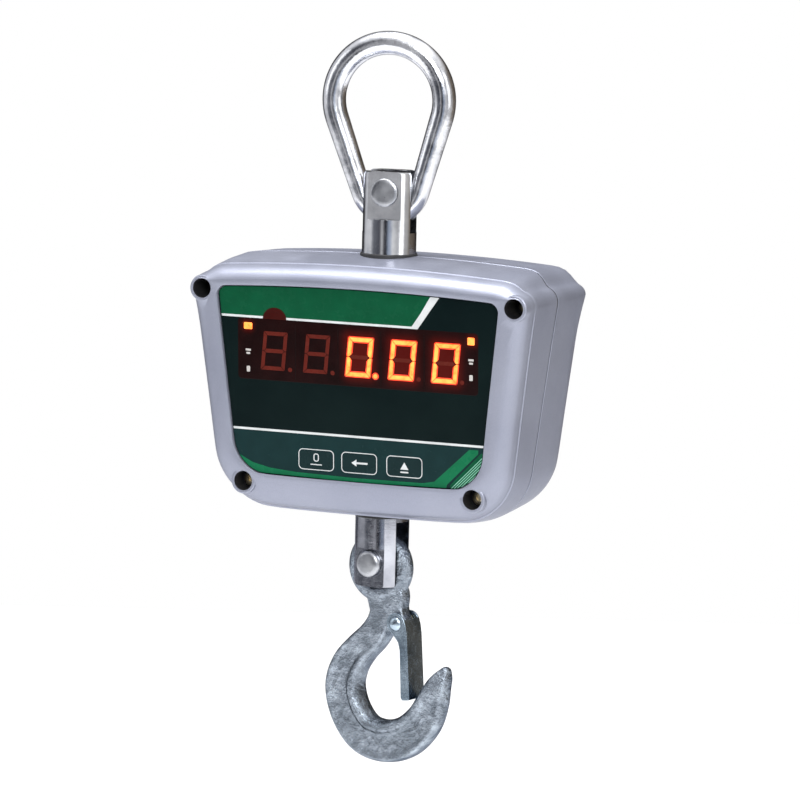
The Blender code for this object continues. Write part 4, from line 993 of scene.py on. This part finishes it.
def make_fork(name, place, metal, pin_to_end, pin_to_floor, pin_to_flat, pin_to_base, node):
    """A turned barrel with a slot, two flats and a cross bore. Heights are measured from the pin."""
    sign = 1 if pin_to_end > 0 else -1
    end, base, stud = pin_to_end * sign, pin_to_base * sign, 0.0060
    profile = [
        (0, end), (FORK_RADIUS - 0.0012, end), (FORK_RADIUS - 0.0004, end - 0.0004),
        (FORK_RADIUS, end - 0.0013),
        (FORK_RADIUS, base + 0.0006), (FORK_RADIUS - 0.0005, base), (stud, base), (stud, base - 0.030),
        (0, base - 0.030),
    ]
    body = lathe(name, profile, 96, Matrix.Scale(sign, 4, (0, 0, 1)))
    over = pin_to_end + 0.01 * sign

    def block(start, near, far):
        """A cutter from a height to past the open end, between two depths along Y."""
        outline = [(-PAST, start), (PAST, start), (PAST, over), (-PAST, over)]
        return cutter("block", slab("block", outline, near, far), place)

    tools = [block(pin_to_floor, -FORK_SLOT_HALF, FORK_SLOT_HALF)]
    tools += [block(pin_to_flat, side * FORK_FLAT, side * PAST) for side in (-1, 1)]
    bore = lathe("bore", [(0, 0.03), (FORK_BORE, 0.03), (FORK_BORE, -0.03), (0, -0.03)], 48, ACROSS)
    tools.append(cutter("bore", bore, place))
    made = piece(name, carved(name, body, place, tools), metal, "scale", place, (node,), angle=30)
    bevel(made, 0.00035, 3, 32)


def make_pin(name, place, head_height, node):
    """A headed pin lying across its fork: domed head, plain shank, chamfered tail."""
    radius, head_face, head_radius, tail = 0.0060, 0.0104, 0.0067, 0.0139
    profile = [(0, head_face + head_height)]
    for step in range(1, 9):
        angle = math.radians(90 - 11.25 * step)
        profile.append((
            head_radius * (0.55 + 0.45 * math.cos(angle)),
            head_face + head_height * (0.35 + 0.65 * math.sin(angle)),
        ))
    profile += [
        (head_radius, head_face), (radius, head_face), (radius, -tail + 0.0006),
        (radius - 0.0006, -tail), (0, -tail),
    ]
    piece(name, lathe(name, profile, 64, ACROSS), PIN_STEEL, "scale", place, (node,), angle=30)


def make_seals():
    for name, low, high, node in (
        ("upper_lip_seal", 0.0600, 0.0654, "upper_seal_ring"),
        ("lower_lip_seal", -0.0626, -0.0575, "lower_seal_ring"),
    ):
        profile = [
            (0.0133, high), (0.0135, high), (0.0138, high - 0.0004), (0.0138, low + 0.0004), (0.0135, low),
            (0.0133, low), (0.0133, high),
        ]
        piece(name, lathe(name, profile, 72), RUBBER, "scale", CASE, (node,))


# ---- hook and latch
# (x, z, half width, half depth) along the forging from the eye to the tip
HOOK_LINE = [
    (0.0025, -0.0165, 0.0066, 0.0040), (0.0030, -0.0230, 0.0072, 0.0045),
    (0.0015, -0.0300, 0.0075, 0.0052), (-0.0030, -0.0370, 0.0078, 0.0057),
    (-0.0100, -0.0440, 0.0082, 0.0060), (-0.0165, -0.0525, 0.0092, 0.0062),
    (-0.0195, -0.0630, 0.0100, 0.0064), (-0.0160, -0.0755, 0.0102, 0.0066),
    (-0.0070, -0.0855, 0.0104, 0.0066), (0.0055, -0.0880, 0.0105, 0.0066),
    (0.0175, -0.0845, 0.0103, 0.0064), (0.0272, -0.0755, 0.0094, 0.0060),
    (0.0322, -0.0655, 0.0080, 0.0055), (0.0350, -0.0580, 0.0062, 0.0048),
    (0.0378, -0.0525, 0.0042, 0.0040), (0.0396, -0.0487, 0.0020, 0.0026),
]


def hook_ring(centre, across, half_width, half_depth, sunk):
    """One section of the forging: raised rims round a sunk web on each face."""
    web = 1.0 - sunk
    upper = [
        (1.0, 0.0), (0.985, 0.30), (0.93, 0.62), (0.84, 0.88), (0.70, 1.0), (0.52, 0.99),
        (0.42, 1.0 - 0.6 * sunk), (0.34, web), (0.10, web), (-0.20, web), (-0.48, web),
        (-0.62, 1.0 - 0.8 * sunk),
        (-0.74, 1.0 - 0.6 * sunk), (-0.86, 0.80), (-0.94, 0.58), (-0.985, 0.30), (-1.0, 0.0),
    ]
    ring = upper + [(a, -b) for a, b in reversed(upper[1:-1])]
    wide = (across[0] * half_width, across[1] * half_width)
    return [(centre[0] + wide[0] * a, half_depth * b, centre[1] + wide[1] * a) for a, b in ring]


def hook_shank():
    """The forging from under the eye, round the bowl, to the rounded tip."""
    line = curve_through([(x, 0, z) for x, z, _, _ in HOOK_LINE], 7)
    sizes = curve_through([(w, d, i * 0.01) for i, (_, _, w, d) in enumerate(HOOK_LINE)], 7)
    web_depth, web_start, web_end, web_fade = 0.30, 0.22, 0.84, 0.08
    sections = []
    last = len(line) - 1
    for i, point in enumerate(line):
        along = (line[min(i + 1, last)] - line[max(i - 1, 0)]).normalized()
        share = i / last
        fade_in = min(max((share - web_start) / web_fade, 0), 1)
        fade_out = min(max((web_end - share) / web_fade, 0), 1)
        sunk = web_depth * fade_in * fade_out
        sections.append(hook_ring((point.x, point.z), (-along.z, along.x), sizes[i].x, sizes[i].y, sunk))
    tip = line[-1]
    ahead = (line[-1] - line[-3]).normalized()
    for grow, shrink in ((0.0007, 0.80), (0.0011, 0.45)):
        centre = tip + ahead * grow
        sections.append(hook_ring(
            (centre.x, centre.z), (-ahead.z, ahead.x), sizes[-1].x * shrink, sizes[-1].y * shrink, 0))
    return skin("hook", sections)


def hook_eye():
    sections = []
    for i in range(72):
        angle = math.tau * i / 72
        outward = Vector((math.cos(angle), 0, math.sin(angle)))
        sections.append(wire_ring(Vector((0, 0, EYE_Z)) + outward * EYE_RADIUS, outward, EYE_WIRE, 20))
    return skin("eye", sections + [sections[0]], close_ends=False)


def hook_root():
    """The broad neck under the eye, a little smaller at its faces than inside."""
    middle_x, middle_z = 0.006, -0.022
    shoulder = [
        (-0.0070, -0.0150), (0.0, -0.0120), (0.0120, -0.0095), (0.0150, -0.0125), (0.0156, -0.0160),
        (0.0150, -0.0210), (0.0158, -0.0255), (0.0160, -0.0300), (0.0140, -0.0325), (0.0020, -0.0340),
        (-0.0040, -0.0250),
    ]
    return skin("lug_root", [
        [(x * shrink + middle_x * (1 - shrink), y, z * shrink + middle_z * (1 - shrink)) for x, z in shoulder]
        for y, shrink in ((-0.0042, 0.86), (-0.0034, 0.97), (0.0034, 0.97), (0.0042, 0.86))
    ])


def hook_lug():
    profile = [
        (0, 0.0036), (0.0036, 0.0036), (0.0042, 0.0030), (0.0042, -0.0030), (0.0036, -0.0036), (0, -0.0036),
    ]
    return lathe("lug", profile, 40, Matrix.Translation(LATCH_PIVOT) @ ACROSS)


def make_hook():
    """Shank, eye, lug and root melted into one skin by a voxel remesh."""
    form = bmesh.new()
    for part in (hook_shank(), hook_eye(), hook_lug(), hook_root()):
        form.from_mesh(part)
    bmesh.ops.remove_doubles(form, verts=form.verts, dist=0.0000001)
    joined = bpy.data.meshes.new("forged_hook")
    form.to_mesh(joined)
    form.free()
    work = cutter("forged_hook", joined, LOWER)
    remesh = work.modifiers.new("one_skin", "REMESH")
    remesh.mode = "VOXEL"
    remesh.voxel_size = 0.00055
    remesh.use_smooth_shade = True
    relax = work.modifiers.new("relax", "SMOOTH")
    relax.factor = 0.5
    relax.iterations = 6
    mesh = finished_mesh("forged_hook", work)
    piece("forged_hook", mesh, FORGED, "hook", LOWER, ("hook",), angle=80)


def make_latch():
    """A pressed channel: its web faces the tip, and its two ears are rounded about the pivot."""
    ear = arc((0, 0), 0.0052, 25, 235, 14)
    outline = [(0.0060, -0.0060), (0.0058, -0.0018), (0.0052, 0.0012)] + ear + [
        (-0.0010, -0.0068), (0.0006, -0.0092), (0.0012, -0.0130), (-0.0004, -0.0362), (0.0004, -0.0375),
        (0.0040, -0.0375), (0.0046, -0.0367)]
    body = slab("latch_plate", outline, -0.0068, 0.0068)
    inside = [(-PAST, 0.02), (0.0049, 0.02), (0.0049, 0.0), (0.0032, -0.0385), (-PAST, -0.0385)]
    hollow = slab("hollow", inside, -0.0055, 0.0055)
    mesh = carved("latch_plate", body, LATCH_LEANING, [cutter("hollow", hollow, LATCH_LEANING)])
    latch = piece("latch_plate", mesh, BLUE_ZINC, "latch", LATCH_LEANING, ("latch",), angle=30)
    bevel(latch, 0.00045, 3, 32)
    half = [(0, 0.0083), (0.0020, 0.0082), (0.0029, 0.0077), (0.0034, 0.0071), (0.0020, 0.0071)]
    profile = half + [(radius, -height) for radius, height in reversed(half)]
    piece("latch_rivet", lathe("latch_rivet", profile, 40, ACROSS), BLUE_ZINC, "hook", LATCH, ("latch_pin",))


# ---- everything else keeps its CAD shape
def finish_cad_nodes():
    small_parts = [n for n in NODES if "screw" in n or n.endswith(("_nut", "_clip", "_spring"))]
    finishes = {
        SCREW_STEEL: small_parts,
        ALUMINIUM: ["load_cell"],
        BLUE_ZINC: ["cell_bracket"],
        PLASTIC: ["charging_socket", "ir_receiver", "buzzer", "cell_connector", "battery_connector",
                  "key_switch_1", "key_switch_2", "key_switch_3"],
        BOARD: ["display_board"],
        WRAP: ["battery_pack"],
        SHEATH: ["load_cell_cable", "battery_lead"],
        UNLIT: [f"digit_{i}" for i in range(1, 6)] + ["indicator_bar_left", "indicator_bar_right"],
    }
    for material, names in finishes.items():
        for name in names:
            mesh = NODES[name].data
            mesh.materials.clear()
            mesh.materials.append(material)


# ---- camera, light and floor
CAMERA_AIM = CENTRE + Vector((0.0077, 0, -0.0057))
CAMERA_OFFSET = Vector((0.9217, -2.1714, 0.2922))
CAMERA_ROLL = math.radians(1.41)
CAMERA_LENS = 221.5


def make_camera():
    camera = bpy.data.objects.new("camera", bpy.data.cameras.new("camera"))
    bpy.context.scene.collection.objects.link(camera)
    camera.location = CAMERA_AIM + CAMERA_OFFSET
    back = CAMERA_OFFSET.normalized()
    right = Vector((0, 0, 1)).cross(back).normalized()
    up = back.cross(right)
    turned_right = right * math.cos(CAMERA_ROLL) + up * math.sin(CAMERA_ROLL)
    turned_up = up * math.cos(CAMERA_ROLL) - right * math.sin(CAMERA_ROLL)
    camera.rotation_mode = "QUATERNION"
    camera.rotation_quaternion = Matrix((turned_right, turned_up, back)).transposed().to_quaternion()
    camera.data.lens = CAMERA_LENS
    camera.data.sensor_width = 36
    camera.data.clip_end = 500
    bpy.context.scene.camera = camera


def area_light(name, place, size, power):
    data = bpy.data.lights.new(name, "AREA")
    data.shape = "RECTANGLE"
    data.size, data.size_y = size
    data.energy = power
    light = bpy.data.objects.new(name, data)
    bpy.context.scene.collection.objects.link(light)
    light.location = place
    light.rotation_mode = "QUATERNION"
    light.rotation_quaternion = (Vector(place) - LIGHT_AIM).to_track_quat("Z", "Y")


LIGHT_AIM = Vector((0, 0, -0.15))

# The floor is a sheet of pale paper laid along the line of sight, and the backdrop beyond it is as pale
PAPER_SIDE = 1.6
PAPER_FRONT = -1.5
PAPER_BACK = 2.5
PAPER_DROP = 0.35
VIEW_TURN = math.atan2(CAMERA_OFFSET.x, -CAMERA_OFFSET.y)

# What reflections see round the object: (share of a turn from -X through -Y and +X to +Y, colour)
WALLS = (
    (0.0, (0.85, 0.85, 0.88)), (0.08, (0.80, 0.80, 0.83)), (0.11, (0.20, 0.21, 0.24)),
    (0.205, (0.08, 0.08, 0.10)), (0.216, (0.60, 0.60, 0.62)), (0.234, (0.60, 0.60, 0.62)),
    (0.25, (0.05, 0.05, 0.06)), (0.285, (0.03, 0.03, 0.04)), (0.30, (0.35, 0.42, 0.55)),
    (0.335, (0.55, 0.60, 0.72)), (0.35, (0.95, 0.95, 0.96)), (0.41, (0.62, 0.62, 0.64)),
    (0.54, (0.60, 0.58, 0.57)), (0.58, (0.22, 0.18, 0.14)), (0.78, (0.10, 0.08, 0.07)),
    (0.83, (0.07, 0.07, 0.07)), (0.94, (0.10, 0.10, 0.11)), (0.965, (0.80, 0.80, 0.83)),
)
CEILING = (1.9, 1.9, 1.93, 1)
BACKDROP = (1, 1, 1, 1)


def make_world():
    """Reflections see walls under a bright ceiling. The camera itself sees a plain pale backdrop."""
    world = bpy.data.worlds.new("studio")
    bpy.context.scene.world = world
    world.use_nodes = True
    tree = world.node_tree
    place = tree.nodes.new("ShaderNodeTexCoord").outputs["Generated"]
    around = tree.nodes.new("ShaderNodeTexGradient")
    around.gradient_type = "RADIAL"
    tree.links.new(place, around.inputs["Vector"])
    panels = tree.nodes.new("ShaderNodeValToRGB")
    tree.links.new(around.outputs["Color"], panels.inputs["Fac"])
    elements = panels.color_ramp.elements
    elements.remove(elements[1])
    elements[0].color = (*WALLS[0][1], 1)
    for position, colour in WALLS[1:]:
        elements.new(position).color = (*colour, 1)
    split = tree.nodes.new("ShaderNodeSeparateXYZ")
    tree.links.new(place, split.inputs[0])
    rise = tree.nodes.new("ShaderNodeMapRange")
    rise.inputs["From Min"].default_value = 0.45
    rise.inputs["From Max"].default_value = 0.90
    tree.links.new(split.outputs[2], rise.inputs["Value"])
    seen = tree.nodes.new("ShaderNodeLightPath")
    room = world_mix(tree, rise.outputs["Result"], panels.outputs["Color"], CEILING)
    shown = world_mix(tree, seen.outputs["Is Camera Ray"], room, BACKDROP)
    tree.links.new(shown, tree.nodes["Background"].inputs["Color"])


def world_mix(tree, share, first, second):
    mix = tree.nodes.new("ShaderNodeMix")
    mix.data_type = "RGBA"
    tree.links.new(share, mix.inputs[0])
    tree.links.new(first, mix.inputs[6])
    mix.inputs[7].default_value = second
    return mix.outputs[2]


def make_lights():
    area_light("key_light", (1.0, -2.0, 0.9), (1.0, 1.0), 36)
    area_light("left_light", (-1.7, -1.1, 0.5), (0.8, 1.2), 4)
    area_light("right_light", (1.9, -0.5, 0.4), (0.8, 1.4), 6)
    area_light("top_light", (-0.2, -0.2, 1.5), (1.2, 0.9), 40)


def make_floor():
    corners = [
        (-PAPER_SIDE, PAPER_FRONT), (PAPER_SIDE, PAPER_FRONT),
        (PAPER_SIDE, PAPER_BACK), (-PAPER_SIDE, PAPER_BACK),
    ]
    paper = mesh_from("floor", lambda form: form.faces.new([form.verts.new((x, y, 0)) for x, y in corners]))
    paper.materials.append(PAPER)
    floor = bpy.data.objects.new("floor", paper)
    bpy.context.scene.collection.objects.link(floor)
    floor.location = (0, 0, CAD_LOW.z - PAPER_DROP)
    floor.rotation_euler = (0, 0, VIEW_TURN)


bpy.context.scene.view_settings.view_transform = "Standard"
make_camera()
make_world()
make_lights()
make_floor()
finish_cad_nodes()
make_front()
make_back()
make_gaskets()
make_screws()
make_film()
make_window()
make_keys()
make_ring()
make_fork("upper_fork", UPPER, CHROME, 0.0100, -0.0195, -0.0130, -0.0480, "upper_clevis")
# The lower fork takes the darker copy of the plating: painted shade.
make_fork("lower_fork", LOWER, SHADED_CHROME, -0.0115, 0.0205, 0.0075, 0.0380, "lower_clevis")
make_pin("upper_fork_pin", UPPER, 0.0012, "upper_pin")
make_pin("lower_fork_pin", LOWER, 0.0030, "lower_pin")
make_seals()
make_hook()
make_latch()
